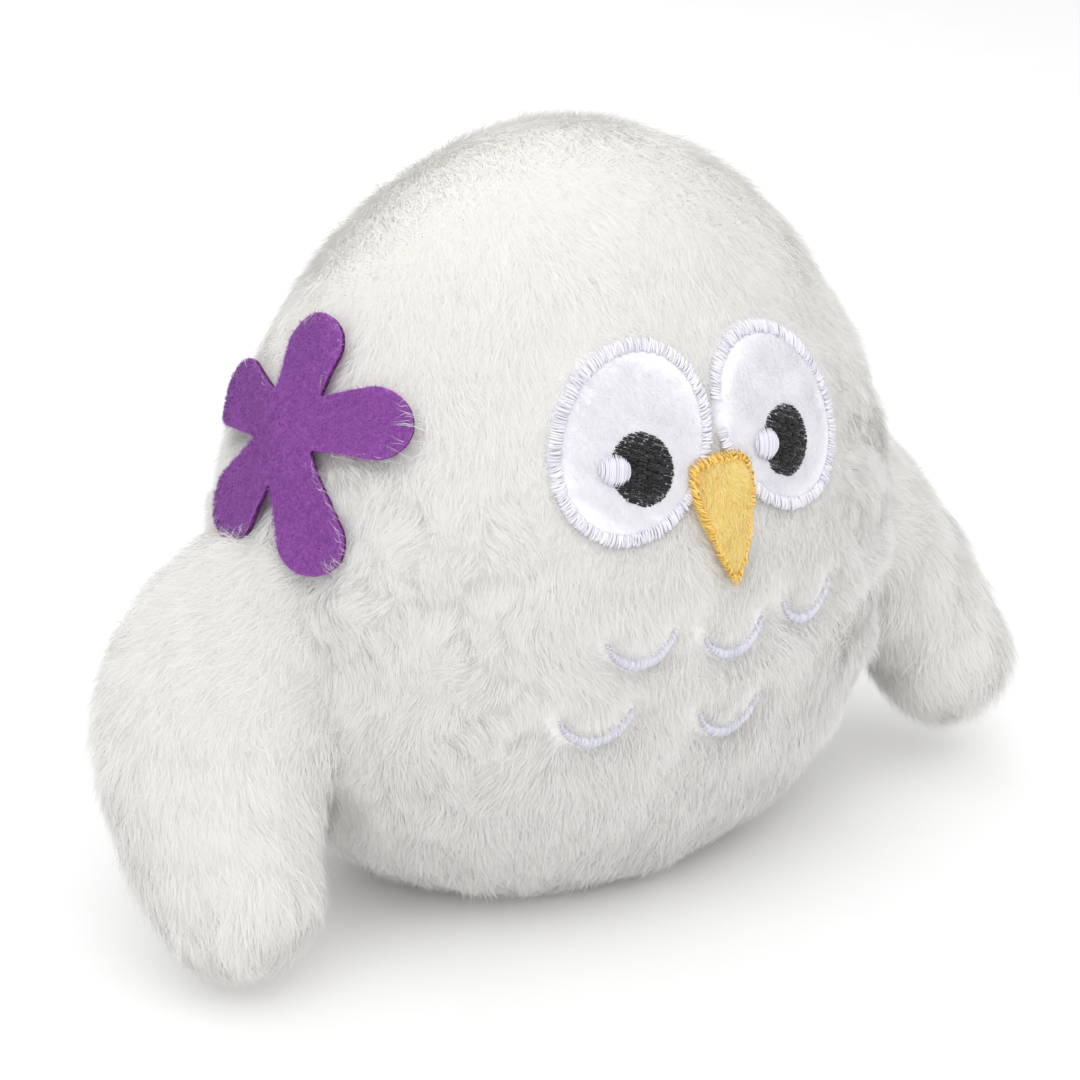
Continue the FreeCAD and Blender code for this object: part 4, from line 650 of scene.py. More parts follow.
def zigzag(inner, outer, low, high, rng, jitter=0.25 * MM):
    """Paths of stitches that cross a band to and fro; its edges are matching (x, z) points."""
    legs = len(inner)
    rough = rng.normal(size=(2, legs, 2)) * jitter
    first = inner + rough[0]
    second = np.roll(outer, -1, axis=0) + rough[1]
    third = np.roll(inner, -1, axis=0) + rough[0][::-1]
    paths = []
    t = np.linspace(0, 1, 6)[None, :, None]
    for start, end in ((first, second), (second, third)):
        flat = start[:, None] * (1 - t) + end[:, None] * t
        lift = high * rng.uniform(0.85, 1.15, (legs, 1))
        height = low + (lift - low) * np.sin(math.pi * t[..., 0]) ** 0.5
        paths.append(on_body(flat[..., 0], flat[..., 1], height))
    return np.concatenate(paths)


def dense(outline, pitch):
    """The outline divided at a pitch."""
    closed = np.concatenate([outline, outline[:1]])
    run = np.concatenate([[0], np.cumsum(np.linalg.norm(np.diff(closed, axis=0), axis=1))])
    steps = int(run[-1] / pitch)
    at = np.linspace(0, run[-1], steps, endpoint=False)
    return np.stack([np.interp(at, run, closed[:, k]) for k in (0, 1)], axis=-1)


def fill_rows(outline, angle, pitch, stitch, height, crown, rng):
    """Paths of the parallel stitches that fill an outline."""
    along = np.array([math.cos(angle), math.sin(angle)])
    across = np.array([-along[1], along[0]])
    centre = outline.mean(axis=0)
    local = np.stack([(outline - centre) @ along, (outline - centre) @ across], axis=-1)
    reach = np.abs(local).max(axis=0)
    t = np.linspace(0, 1, 6)
    paths = []
    for row, v in enumerate(np.arange(-reach[1], reach[1], pitch)):
        crossing = local[:, 1] - v
        following = np.roll(local, -1, axis=0)
        change = crossing * (following[:, 1] - v) < 0
        if change.sum() < 2:
            continue
        share = (v - local[change, 1]) / (following[change, 1] - local[change, 1])
        ends = np.sort(local[change, 0] + share * (following[change, 0] - local[change, 0]))
        start, stop = ends[0] - rng.uniform(0, 0.35) * MM, ends[-1] + rng.uniform(0, 0.35) * MM
        cuts = np.arange(start - rng.random() * stitch, stop, stitch)
        cuts = np.concatenate([[start], cuts[(cuts > start + stitch / 4) & (cuts < stop - stitch / 4)], [stop]])
        for u0, u1 in zip(cuts[:-1], cuts[1:]):
            u = u0 + (u1 - u0) * t
            w = v + rng.normal() * 0.06 * MM
            flat = centre + u[:, None] * along + w * across
            dome = 1 - (np.hypot(u / reach[0], v / reach[1]).clip(0, 1)) ** 4
            lift = height + crown * dome + 0.10 * MM * np.sin(math.pi * t)
            paths.append(on_body(flat[:, 0], flat[:, 1], lift))
    return np.array(paths)


def nap(name, outline, height, length, count, lean, materials, seed):
    """Short fine fibres that stand on a pad."""
    rng = np.random.default_rng(seed)
    low, high = outline.min(axis=0), outline.max(axis=0)
    spots = low + (high - low) * rng.random((count * 2, 2))
    spots = spots[polygon_inside(outline, spots[:, 0], spots[:, 1])][:count]
    centre = outline.mean(axis=0)
    share = np.linalg.norm((spots - centre) / (high - low) * 2, axis=1)
    roots = on_body(spots[:, 0], spots[:, 1], height * (1 - 0.25 * share ** 8))
    normals = body_normals(roots)
    brushed = waves(roots, 9 * MM, seed)
    comb = flatten(np.array(lean) + 0.7 * brushed + 0.35 * rng.normal(size=roots.shape), normals)
    size = length * rng.uniform(0.7, 1.2, len(roots))
    lift = np.clip(0.35 + 0.12 * rng.normal(size=len(roots)), 0.1, 0.8)
    lines = grow(roots, normals, comb, size, lift, np.zeros(len(roots)), rng)
    return ribbon_mesh(name, lines, normals, NAP_WIDTH, materials, rng)


# ================================================================ face
SHARED_BORDER = 1.04          # the left eye has no line of its own this near the right eye
GLINT_SHIFT = Vector((-6.5, 0.0, 0.9)) * MM
GLINT_HALF_WIDTH = 3.5 * MM
GLINT_HALF_HEIGHT = 3.1 * MM
EYE_HEIGHT = 2.0 * MM
PUPIL_HEIGHT = 2.3 * MM
PUPIL_SLANT = math.radians(-24)
GLINT_HEIGHT = 2.9 * MM
BEAK_HEIGHT = 3.9 * MM
SCALLOP_HEIGHT = 2.6 * MM


def on_plush(piece, slot, *nodes):
    """A piece that is sewn to the body."""
    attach(piece, "plush_body")
    if nodes:
        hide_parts(*nodes)
    return piece


def build_eye(side, seed):
    rng = np.random.default_rng(seed)
    cloth = pad(f"eye_cloth_{side}", eye_outline(side, 0.4 * MM, 120), 0.2 * MM, EYE_HEIGHT, EYE_CLOTH, edge=24.0)
    on_plush(cloth, "eye_minky", f"eye_patch_{side}")
    tuft = nap(f"eye_nap_{side}", eye_outline(side, 1.6 * MM, 80), EYE_HEIGHT - 0.15 * MM, 1.1 * MM, 26000,
               (0.25, 0, -1), EYE_NAP, seed + 1)
    on_plush(tuft, "eye_minky")
    outer = dense(eye_outline(side, 0.0, 240), STITCH_PITCH)
    inner = eye_outline_at(side, EYE_BORDER, outer)
    keep = np.ones(len(outer), bool)
    if side == "left":
        keep = eye_share("right", outer[:, 0], outer[:, 1]) > SHARED_BORDER
    paths = zigzag(inner, outer, EYE_HEIGHT - 0.1 * MM, EYE_HEIGHT + 0.35 * MM, rng, 0.16 * MM)
    paths = paths[np.concatenate([keep, keep])]
    on_plush(thread_piece(f"eye_stitches_{side}", paths, STITCH_RADIUS, WHITE_THREAD_LIT_AND_SHADED, rng),
             "white_satin_thread", f"eye_border_{side}")


def eye_outline_at(side, inset, outer):
    """The point of the inset outline that faces each point of the outer one."""
    centre, _, _ = eye_facts(side)
    middle = np.array([centre.x, centre.z])
    away = outer - middle
    size = np.linalg.norm(away, axis=1, keepdims=True)
    return middle + away * (1 - inset / size)


def build_pupil(side, seed):
    rng = np.random.default_rng(seed)
    low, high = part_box(f"pupil_{side}")
    outline = oval((low + high) / 2, (high.x - low.x) / 2, (high.z - low.z) / 2, 90)
    base = pad(f"pupil_bed_{side}", outline, EYE_HEIGHT - 0.3 * MM, PUPIL_HEIGHT, BLACK_THREAD[0], edge=4.0)
    on_plush(base, "black_satin_thread")
    paths = fill_rows(outline, PUPIL_SLANT, 0.40 * MM, 2.4 * MM, EYE_HEIGHT + 0.1 * MM, 0.45 * MM, rng)
    on_plush(thread_piece(f"pupil_stitches_{side}", paths, 0.23 * MM, BLACK_THREAD, rng),
             "black_satin_thread", f"pupil_{side}")


def build_glints():
    """The raised white satin spot at the outer side of each pupil."""
    rng = np.random.default_rng(41)
    groups = []
    for side in WINGS:
        pupil_low, pupil_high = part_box(f"pupil_{side}")
        middle = (pupil_low + pupil_high) / 2
        centre = middle + GLINT_SHIFT
        outline = oval(centre, GLINT_HALF_WIDTH, GLINT_HALF_HEIGHT, 60)
        bed = pad(f"glint_bed_{side}", outline, EYE_HEIGHT, GLINT_HEIGHT, GLINT_THREAD[0], edge=3.0)
        on_plush(bed, "white_satin_thread")
        groups.append(fill_rows(outline, math.radians(78), 0.36 * MM, 30 * MM, PUPIL_HEIGHT + 0.3 * MM,
                                0.75 * MM, rng))
    paths = np.concatenate(groups)
    on_plush(thread_piece("glint_stitches", paths, 0.22 * MM, GLINT_THREAD, rng),
             "white_satin_thread", "eye_highlights")


def build_beak():
    rng = np.random.default_rng(51)
    outline = beak_outline(0.5 * MM)
    cloth = pad("beak_cloth", outline, 1.2 * MM, BEAK_HEIGHT, BEAK_CLOTH, edge=5.0)
    on_plush(cloth, "yellow_minky", "beak_patch")
    tuft = nap("beak_nap", beak_outline(0.8 * MM), BEAK_HEIGHT - 0.2 * MM, 1.7 * MM, 9000, (0.1, 0, -1.4),
               BEAK_NAP, 52)
    on_plush(tuft, "yellow_minky")
    outer = dense(beak_outline(0.0), 0.66 * MM)
    centre = outer.mean(axis=0)
    away = outer - centre
    inner = outer - away / np.linalg.norm(away, axis=1, keepdims=True) * 2.0 * MM
    paths = zigzag(inner, outer, BEAK_HEIGHT - 1.8 * MM, BEAK_HEIGHT + 0.1 * MM, rng, 0.2 * MM)
    on_plush(thread_piece("beak_stitches", paths, 0.21 * MM, GOLD_THREAD, rng), "golden_thread", "beak_border")


def build_scallops():
    rng = np.random.default_rng(61)
    groups = []
    for x, bottom in SCALLOPS:
        outer, inner = crescent(x * MM, bottom * MM, 56)
        t = np.linspace(0, 1, 6)[None, :, None]
        start = outer + rng.normal(size=outer.shape) * 0.12 * MM
        end = np.roll(inner, -1, axis=0) + rng.normal(size=outer.shape) * 0.12 * MM
        flat = (start[:, None] * (1 - t) + end[:, None] * t)[1:-1]
        height = SCALLOP_HEIGHT - 0.7 * MM + 1.1 * MM * np.sin(math.pi * t[..., 0]) ** 0.5
        groups.append(on_body(flat[..., 0], flat[..., 1], height))
    on_plush(thread_piece("feather_stitches", np.concatenate(groups), 0.26 * MM, LAVENDER_THREAD, rng),
             "lavender_thread", "chest_scallops")


# ================================================================ flower
FLOWER_ACROSS = Vector((0, 0, 1)).cross(FLOWER_NORMAL).normalized()
FLOWER_UP = FLOWER_NORMAL.cross(FLOWER_ACROSS)


def flower_reach(angle):
    """How far the flower's edge is from its centre, in each direction."""
    r = np.linspace(0, 36 * MM, 361)
    x = r[None] * np.cos(angle)[:, None]
    y = r[None] * np.sin(angle)[:, None]
    nearest = np.full(x.shape, 1.0)
    for turn, length in PETALS:
        ax, ay = math.cos(math.radians(turn)), math.sin(math.radians(turn))
        spine = length * MM - PETAL_TIP_RADIUS
        t = np.clip((x * ax + y * ay) / spine, 0, 1)
        fat = PETAL_NECK_RADIUS + (PETAL_TIP_RADIUS - PETAL_NECK_RADIUS) * t ** 1.3
        distance = np.hypot(x - ax * t * spine, y - ay * t * spine) - fat
        softness = 0.9 * MM
        blend = np.clip(0.5 + 0.5 * (distance - nearest) / softness, 0, 1)
        nearest = distance * (1 - blend) + nearest * blend - softness * blend * (1 - blend)
    inside = nearest < 0
    return r[np.where(inside, np.arange(len(r)), 0).max(axis=1)]


def flower_place(u, v):
    """Points of the flower's plane."""
    centre, across, up = (np.array(vector) for vector in (FLOWER_CENTRE, FLOWER_ACROSS, FLOWER_UP))
    return centre + u[:, None] * across + v[:, None] * up


def build_flower():
    """A sheet of felt in five tongues that lies on the pile and bends round the head."""
    steps, rings = 360, 26
    angle = np.linspace(-math.pi, math.pi, steps, endpoint=False)
    edge = flower_reach(angle)
    share = np.linspace(0.04, 1.0, rings)
    u = (share[:, None] * (edge * np.cos(angle))[None]).ravel()
    v = (share[:, None] * (edge * np.sin(angle))[None]).ravel()
    places = flower_place(u, v)
    normal = np.array(FLOWER_NORMAL)
    ripple = 0.35 * MM * waves(places, 22 * MM, 71)[:, 0]
    round_edge = 0.25 * MM * np.repeat(share, steps) ** 24
    lower = drop_on_body(places, normal, FLOWER_HEIGHT + ripple + round_edge)
    upper = drop_on_body(places, normal, FLOWER_HEIGHT + FELT_THICK + ripple - round_edge)
    middle = flower_place(np.zeros(1), np.zeros(1))
    ends = [drop_on_body(middle, normal, FLOWER_HEIGHT + h) for h in (0.0, FELT_THICK)]
    count = rings * steps
    verts = np.concatenate([upper, lower, ends[1], ends[0]])
    faces = grid_faces(rings, steps)
    ring = np.arange(steps)
    following = np.roll(ring, -1)
    rim = np.stack([ring + count - steps, following + count - steps,
                    following + 2 * count - steps, ring + 2 * count - steps], axis=-1)
    quads = np.concatenate([faces[:, ::-1], faces + count, rim[:, ::-1]])
    top = np.stack([ring, following, np.full(steps, 2 * count)], axis=-1)
    bottom = np.stack([following + count, ring + count, np.full(steps, 2 * count + 1)], axis=-1)
    index = np.concatenate([np.zeros(2 * len(faces)), np.ones(len(rim)), np.zeros(2 * steps)])
    felt = make_piece("felt_flower_sheet", verts, [quads, np.concatenate([top, bottom])], [FELT, FELT_EDGE], index)
    on_plush(felt, "purple_felt", "felt_flower")
    rng = np.random.default_rng(72)
    felt_normals = felt_ways(upper, faces)
    roots, normals = scatter(upper, faces[:, :3], felt_normals, FELT_FUZZ_COUNT, rng)
    comb = flatten(rng.normal(size=roots.shape), normals)
    size = rng.uniform(0.4, 1.5, len(roots)) * MM
    lift = rng.uniform(0.1, 0.6, len(roots))
    lines = grow(roots, normals, comb, size, lift, np.full(len(roots), 0.2 * MM), rng)
    on_plush(ribbon_mesh("felt_fuzz", lines, normals, FUZZ_WIDTH, FELT_FUZZ, rng), "purple_felt")


def felt_ways(verts, faces):
    """Normals of the felt's upper side."""
    tris = np.concatenate([faces[:, :3], faces[:, [0, 2, 3]]])
    normals = vertex_normals(verts, tris)
    outwards = np.sum(normals * np.array(FLOWER_NORMAL), axis=1, keepdims=True)
    return normals * np.sign(outwards)


# Where strands of the pile lie over the felt's edge: from and to, in degrees, and how many.
STRAY_PLACES = [(62, 108, 45), (-8, 30, 25), (-58, -30, 40), (-135, -100, 90), (140, 175, 15)]


def build_strays():
    """Single strands of the pile that lie over the edge of the felt."""
    rng = np.random.default_rng(75)
    normal = np.array(FLOWER_NORMAL)
    turns = np.concatenate([rng.uniform(low, high, count) for low, high, count in STRAY_PLACES])
    angle = np.radians(turns)
    edge = flower_reach(angle)
    slide = rng.normal(size=(3, len(angle))) * 0.6 * MM
    over = rng.uniform(0.5, 4.0, len(angle)) * MM
    heights = [FLOWER_HEIGHT - 2.0 * MM, FLOWER_HEIGHT + FELT_THICK + 0.7 * MM, FLOWER_HEIGHT + FELT_THICK + 0.3 * MM]
    points = []
    for step, reach in enumerate((edge + 2.0 * MM, edge - 0.3 * over, edge - over)):
        u = reach * np.cos(angle) - slide[step] * np.sin(angle)
        v = reach * np.sin(angle) + slide[step] * np.cos(angle)
        points.append(drop_on_body(flower_place(u, v), normal, np.full(len(angle), heights[step])))
    lines = np.stack(points, axis=1)
    normals = body_normals(lines[:, 0])
    on_plush(ribbon_mesh("stray_strands", lines, normals, FUZZ_WIDTH, PILE, rng), "plush_pile")


# ================================================================ body cloth and flap
FLAP_LOW, FLAP_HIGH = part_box("access_flap")
FLAP_CORNER = 10.0 * MM
FLAP_GAP = 0.4 * MM
BACKING_TOP = 0.2 * MM
BACKING_UNDER = -1.3 * MM


def flap_distance(x, z, grow_by=0.0):
    """Distance outside the flap's rounded rectangle, below 0 inside."""
    middle_z = (FLAP_LOW.z + FLAP_HIGH.z) / 2
    half_x = FLAP_HIGH.x - FLAP_CORNER
    half_z = (FLAP_HIGH.z - FLAP_LOW.z) / 2 - FLAP_CORNER
    dx, dz = np.abs(x) - half_x, np.abs(z - middle_z) - half_z
    outside = np.hypot(np.maximum(dx, 0), np.maximum(dz, 0))
    return outside + np.minimum(np.maximum(dx, dz), 0) - FLAP_CORNER - grow_by


def egg_grid(levels, columns, offset):
    """Rings of points round the egg from the floor to the crown, then the crown itself."""
    low = math.asin(((WIDEST_Z - FLOOR_GAP) / (DROP + offset)) ** (LOWER_POWER / 2))
    tilt = np.linspace(-low, math.pi / 2, levels, endpoint=False)
    turn = np.linspace(0, 2 * math.pi, columns, endpoint=False)
    power = 2 / np.where(tilt > 0, UPPER_POWER, LOWER_POWER)
    half = (HALF_WIDTH + offset) * np.cos(tilt) ** power
    height = np.where(tilt > 0, RISE + offset, -(DROP + offset)) * np.abs(np.sin(tilt)) ** power
    squeeze = (HALF_DEPTH + offset) / (HALF_WIDTH + offset)
    x = half[:, None] * np.cos(turn)[None]
    y = half[:, None] * np.sin(turn)[None] * squeeze
    z = np.broadcast_to((WIDEST_Z + height)[:, None], x.shape)
    verts = np.stack([x, y, z], axis=-1).reshape(-1, 3)
    return np.concatenate([verts, [[0, 0, WIDEST_Z + RISE + offset]]])


def build_body_cloth():
    """The knitted backing of the pile, with the opening for the flap."""
    levels, columns = 84, 220
    verts = egg_grid(levels, columns, BACKING_TOP)
    quads = grid_faces(levels, columns)
    ring = np.arange(columns) + (levels - 1) * columns
    cap = np.stack([ring, np.roll(ring, -1), np.full(columns, len(verts) - 1)], axis=-1)
    centres = verts[quads].mean(axis=1)
    hole = (centres[:, 1] > 0) & (flap_distance(centres[:, 0], centres[:, 2], FLAP_GAP) < 0)
    quads = quads[~hole]
    cloth = make_piece("body_cloth", verts, [quads, cap], [BACKING])
    edit = bmesh.new()
    edit.from_mesh(cloth.data)
    bmesh.ops.delete(edit, geom=[v for v in edit.verts if not v.link_faces], context="VERTS")
    step = 0.1 * MM
    for vertex in edit.verts:
        if vertex.is_boundary and vertex.co.y > 0 and vertex.co.z > 10 * MM:
            for _ in range(4):
                x, z = vertex.co.x, vertex.co.z
                d = float(flap_distance(x, z, FLAP_GAP))
                slope_x = float(flap_distance(x + step, z, FLAP_GAP) - d) / step
                slope_z = float(flap_distance(x, z + step, FLAP_GAP) - d) / step
                vertex.co = Vector(on_body(x - d * slope_x, z - d * slope_z, BACKING_TOP, 1))
    edit.to_mesh(cloth.data)
    edit.free()
    thicken(cloth, BACKING_TOP - BACKING_UNDER)
    on_plush(cloth, "plush_pile", "front_skin", "back_skin")


def thicken(piece, thickness):
    """Gives a single surface a thickness, inwards."""
    solid = piece.modifiers.new("thickness", "SOLIDIFY")
    solid.thickness = thickness
    solid.offset = -1
    solid.use_even_offset = True
    apply_modifiers(piece)


def apply_modifiers(piece):
    """Makes what the modifiers do part of the mesh."""
    graph = bpy.context.evaluated_depsgraph_get()
    graph.update()
    made = bpy.data.meshes.new_from_object(piece.evaluated_get(graph))
    old = piece.data
    piece.modifiers.clear()
    piece.data = made
    made.name = old.name


def flap_outline(inset, steps):
    """The flap's rounded rectangle, as (x, z) points."""
    middle = (FLAP_LOW.z + FLAP_HIGH.z) / 2
    half = np.array([FLAP_HIGH.x, (FLAP_HIGH.z - FLAP_LOW.z) / 2]) - inset
    radius = FLAP_CORNER - inset
    angle = np.linspace(0, 2 * math.pi, steps, endpoint=False) + 1e-6
    corner = np.sign(np.stack([np.cos(angle), np.sin(angle)], axis=-1)) * (half - radius)
    points = corner + radius * np.stack([np.cos(angle), np.sin(angle)], axis=-1)
    return dense(points + np.array([0, middle]), 1.5 * MM)


def shell_on_back(name, outline, low, high, materials, rings=24):
    """A closed plate that follows the back between two heights over the skin."""
    centre = outline.mean(axis=0)
    share = np.linspace(0, 1, rings + 1)[1:]
    places = (centre + share[:, None, None] * (outline - centre)).reshape(-1, 2)
    steps = len(outline)
    count = len(places)
    upper = on_body(places[:, 0], places[:, 1], high, 1)
    lower = on_body(places[:, 0], places[:, 1], low, 1)
    verts = np.concatenate([upper, lower, [on_body(*centre, high, 1), on_body(*centre, low, 1)]])
    faces = grid_faces(rings, steps)
    ring = np.arange(steps)
    following = np.roll(ring, -1)
    edge = count - steps
    rim = np.stack([ring + edge, following + edge, following + edge + count, ring + edge + count], axis=-1)
    top = np.stack([following, ring, np.full(steps, 2 * count)], axis=-1)
    bottom = np.stack([ring + count, following + count, np.full(steps, 2 * count + 1)], axis=-1)
    index = np.concatenate([np.zeros(len(faces)), np.ones(len(faces)), np.ones(len(rim)),
                            np.zeros(steps), np.ones(steps)])
    quads = np.concatenate([faces, faces[:, ::-1] + count, rim])
    return make_piece(name, verts, [quads, np.concatenate([top, bottom])], materials, index)


def build_flap():
    """The furry flap in the back, its lining and the row of stitches round its edge."""
    cloth = shell_on_back("flap_cloth", flap_outline(0.0, 200), BACKING_UNDER, BACKING_TOP, [BACKING, LINING])
    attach(cloth, "back_flap")
    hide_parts("access_flap")
    rng = np.random.default_rng(81)
    line = dense(flap_outline(2.2 * MM, 200), 2.4 * MM)
    following = np.roll(line, -1, axis=0)
    t = np.linspace(0.08, 0.92, 6)[None, :, None]
    flat = line[:, None] * (1 - t) + following[:, None] * t
    depth = BACKING_UNDER - 0.28 * MM * np.sin(math.pi * t[..., 0]) ** 0.5
    paths = on_body(flat[..., 0], flat[..., 1], np.broadcast_to(depth, flat.shape[:2]), 1)
    seam = thread_piece("flap_seam", paths, 0.2 * MM, WHITE_THREAD_LIT_AND_SHADED, rng)
    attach(seam, "back_flap")


def build_base():
    """The flat woven oval that the owl stands on, with its sewn edge."""
    low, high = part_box("base_panel")
    steps, rings = 180, 16
    angle = np.linspace(0, 2 * math.pi, steps, endpoint=False)
    share = np.linspace(0, 1, rings + 1)[1:]
    half_x, half_y = high.x - 0.2 * MM, high.y - 0.2 * MM
    x = (share[:, None] * half_x * np.cos(angle)[None]).ravel()
    y = (share[:, None] * half_y * np.sin(angle)[None]).ravel()
    fall = np.repeat(share, steps) ** 30 * 0.4 * MM
    under = np.stack([x, y, low.z + fall], axis=-1)
    upper = np.stack([x, y, high.z - 0.1 * MM - fall], axis=-1)
    verts = np.concatenate([upper, under, [[0, 0, high.z - 0.1 * MM], [0, 0, low.z]]])
    faces = grid_faces(rings, steps)
    count = len(x)
    ring = np.arange(steps)
    following = np.roll(ring, -1)
    edge = count - steps
    rim = np.stack([ring + edge, ring + edge + count, following + edge + count, following + edge], axis=-1)
    top = np.stack([ring, following, np.full(steps, 2 * count)], axis=-1)
    bottom = np.stack([following + count, ring + count, np.full(steps, 2 * count + 1)], axis=-1)
    quads = np.concatenate([faces[:, ::-1], faces + count, rim])
    on_plush(make_piece("base_cloth", verts, [quads, np.concatenate([top, bottom])], [BASE_CLOTH]),
             "base_cloth", "base_panel")


def build_filling():
    """Fluffy polyester filling in the room that each stuffing node holds."""
    places = [("stuffing_front", "plush_body"), ("stuffing_rear", "plush_body"),
              ("wing_right_stuffing", "wing_right"), ("wing_left_stuffing", "wing_left")]
    for seed, (node, body) in enumerate(places):
        piece = bpy.data.objects.new(node + "_fill", frame["nodes"][node].data.copy())
        bpy.context.scene.collection.objects.link(piece)
        piece.data.materials.clear()
        piece.data.materials.append(FILL)
        remesh = piece.modifiers.new("remesh", "REMESH")
        remesh.mode = "VOXEL"
        remesh.voxel_size = 2.2 * MM
        remesh.use_smooth_shade = True
        apply_modifiers(piece)
        co = points_of(piece.data)
        normals = np.zeros(len(co) * 3)
        piece.data.vertices.foreach_get("normal", normals)
        lumps = waves(co, 9 * MM, 90 + seed)[:, :1] + 0.6 * waves(co, 4 * MM, 95 + seed)[:, :1]
        co -= normals.reshape(-1, 3) * (0.45 + 0.22 * np.clip(lumps, -2, 2)) * MM
        piece.data.vertices.foreach_set("co", co.ravel())
        piece.data.update()
        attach(piece, body)
        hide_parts(node)


# ================================================================ body pile
def flower_cover(points):
    """1 for places under the felt flower, 0 well outside it."""
    centre, across, up, normal = (np.array(v) for v in (FLOWER_CENTRE, FLOWER_ACROSS, FLOWER_UP, FLOWER_NORMAL))
    away = points - centre
    u, v = away @ across, away @ up
    table_angle = np.linspace(-math.pi, math.pi, 361)
    table = flower_reach(table_angle)
    edge = np.interp(np.arctan2(v, u), table_angle, table)
    near = np.abs(away @ normal) < 22 * MM
    return near * (1 - smooth(0.0, 3.0 * MM, np.hypot(u, v) - edge))


def face_gap(x, z):
    """Distance from the nearest eye or beak edge, below 0 inside, roughly."""
    gap = np.full(len(x), 1.0)
    for side in WINGS:
        _, half_width, _ = eye_facts(side)
        gap = np.minimum(gap, (eye_share(side, x, z) - 1) * half_width)
    middle = (BEAK_LOW + BEAK_HIGH) / 2
    half = (BEAK_HIGH - BEAK_LOW) / 2
    wide = half.x * np.clip((z - BEAK_LOW.z) / (1.5 * half.z), 0.1, 1)
    beak = np.maximum(np.abs(x - middle.x) - wide, np.abs(z - middle.z) - half.z)
    return np.minimum(gap, beak)


def scallop_gap(x, z):
    """Distance from the nearest chest feather's band."""
    gap = np.full(len(x), 1.0)
    for sx, bottom in SCALLOPS:
        outer, inner = crescent(sx * MM, bottom * MM, 24)
        line = (outer + inner) / 2
        for px, pz in line:
            gap = np.minimum(gap, np.hypot(x - px, z - pz))
    return gap - SCALLOP_BAND / 2


def away_from_face(points):
    """The way from the nearest eye's middle, along the front."""
    x, z = points[:, 0], points[:, 2]
    total = np.zeros_like(points)
    for side in WINGS:
        centre, half_width, _ = eye_facts(side)
        share = np.clip(1.6 - eye_share(side, x, z), 0, 1)[:, None]
        total += share * unit(np.stack([x - centre.x, 0 * x, z - centre.z], axis=-1))
    return total


def body_rule(roots, normals):
    """Comb direction, length, lift, curl and gathering of the body's pile."""
    x, y, z = roots.T
    front = y < 0
    side = np.abs(x)
    cheek = smooth(30 * MM, 52 * MM, side) * smooth(22 * MM, 45 * MM, z) * (1 - smooth(104 * MM, 130 * MM, z))
    ruffle = np.clip(0.12 + 0.75 * cheek, 0, 1)
    swirl = np.clip(waves(roots, 34 * MM, 11), -1.2, 1.2)
    fine = np.clip(waves(roots, 13 * MM, 12), -1.2, 1.2)
    down = np.array([0.0, 0.0, -1.0])
    crown = smooth(120 * MM, 168 * MM, z)[:, None]
    forwards = np.array([0.0, -1.1, 0.0])
    comb = down + crown * forwards + 0.20 * swirl + ruffle[:, None] * (0.28 * swirl + 0.50 * fine)
    gap = np.where(front, face_gap(x, z), 1.0)
    near = 1 - smooth(0, 9 * MM, gap)
    comb = comb + 1.5 * near[:, None] * away_from_face(roots)
    length = PILE_LENGTH * (1 + 0.12 * fine[:, 1]) * (1 - 0.10 * smooth(60 * MM, 20 * MM, z))
    length = length * (0.36 + 0.64 * smooth(-1 * MM, 11 * MM, gap))
    marks = np.where(front, scallop_gap(x, z - 2.0 * MM), 1.0)
    length = length * (0.30 + 0.70 * smooth(0.8 * MM, 5.0 * MM, marks))
    under = flower_cover(roots)
    length = length * (1 - 0.45 * under)
    lift = 0.36 + ruffle * (0.16 + 0.14 * fine[:, 0]) - 0.12 * under
    curl = (0.25 + 0.3 * ruffle) * MM
    pull = 0.12 + 0.52 * ruffle
    return flatten(comb, normals), length, lift, curl, pull


def flap_rule(roots, normals):
    """As on the body, but no fibre hangs past the hinge, where it would turn into the body."""
    comb, length, lift, curl, pull = body_rule(roots, normals)
    room = 0.9 * (roots[:, 2] - FLAP_LOW.z) + 0.8 * MM
    return comb, np.minimum(length, np.maximum(room, 0.8 * MM)), lift, curl, pull


def build_body_pile():
    verts = egg_grid(84, 220, BACKING_TOP)
    quads = grid_faces(84, 220)
    tris = np.concatenate([quads[:, :3], quads[:, [0, 2, 3]]])
    normals = vertex_normals(verts, tris)

    def sample(count, rng):
        roots, ways = scatter(verts, tris, normals, count, rng)
        x, y, z = roots.T
        bare = (y < 0) & (face_gap(x, z) < -1.6 * MM)
        bare |= (y > 0) & (flap_distance(x, z) < 0.3 * MM)
        bare |= (y < 0) & (scallop_gap(x, z) < 0.2 * MM)
        return roots[~bare], ways[~bare]

    for piece in pile("body_pile", sample, area_of(verts, tris), body_rule, PILE, 101):
        on_plush(piece, "plush_pile")

    middle = (FLAP_LOW + FLAP_HIGH) / 2
    flap_size = np.array([FLAP_HIGH.x - FLAP_LOW.x, FLAP_HIGH.z - FLAP_LOW.z])

    def sample_flap(count, rng):
        spots = (rng.random((count, 2)) * 2 - 1) * flap_size / 2
        x, z = spots[:, 0], spots[:, 1] + middle.z
        inside = flap_distance(x, z) < -0.2 * MM
        roots = on_body(x[inside], z[inside], BACKING_TOP, 1)
        return roots, body_normals(roots)

    area = float(flap_size[0] * flap_size[1])
    for piece in pile("flap_pile", sample_flap, area, flap_rule, PILE, 111):
        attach(piece, "back_flap")


# ================================================================ wings
def bezier(values, t):
    first, middle, last = values
    return first * (1 - t) ** 2 + middle * 2 * t * (1 - t) + last * t ** 2


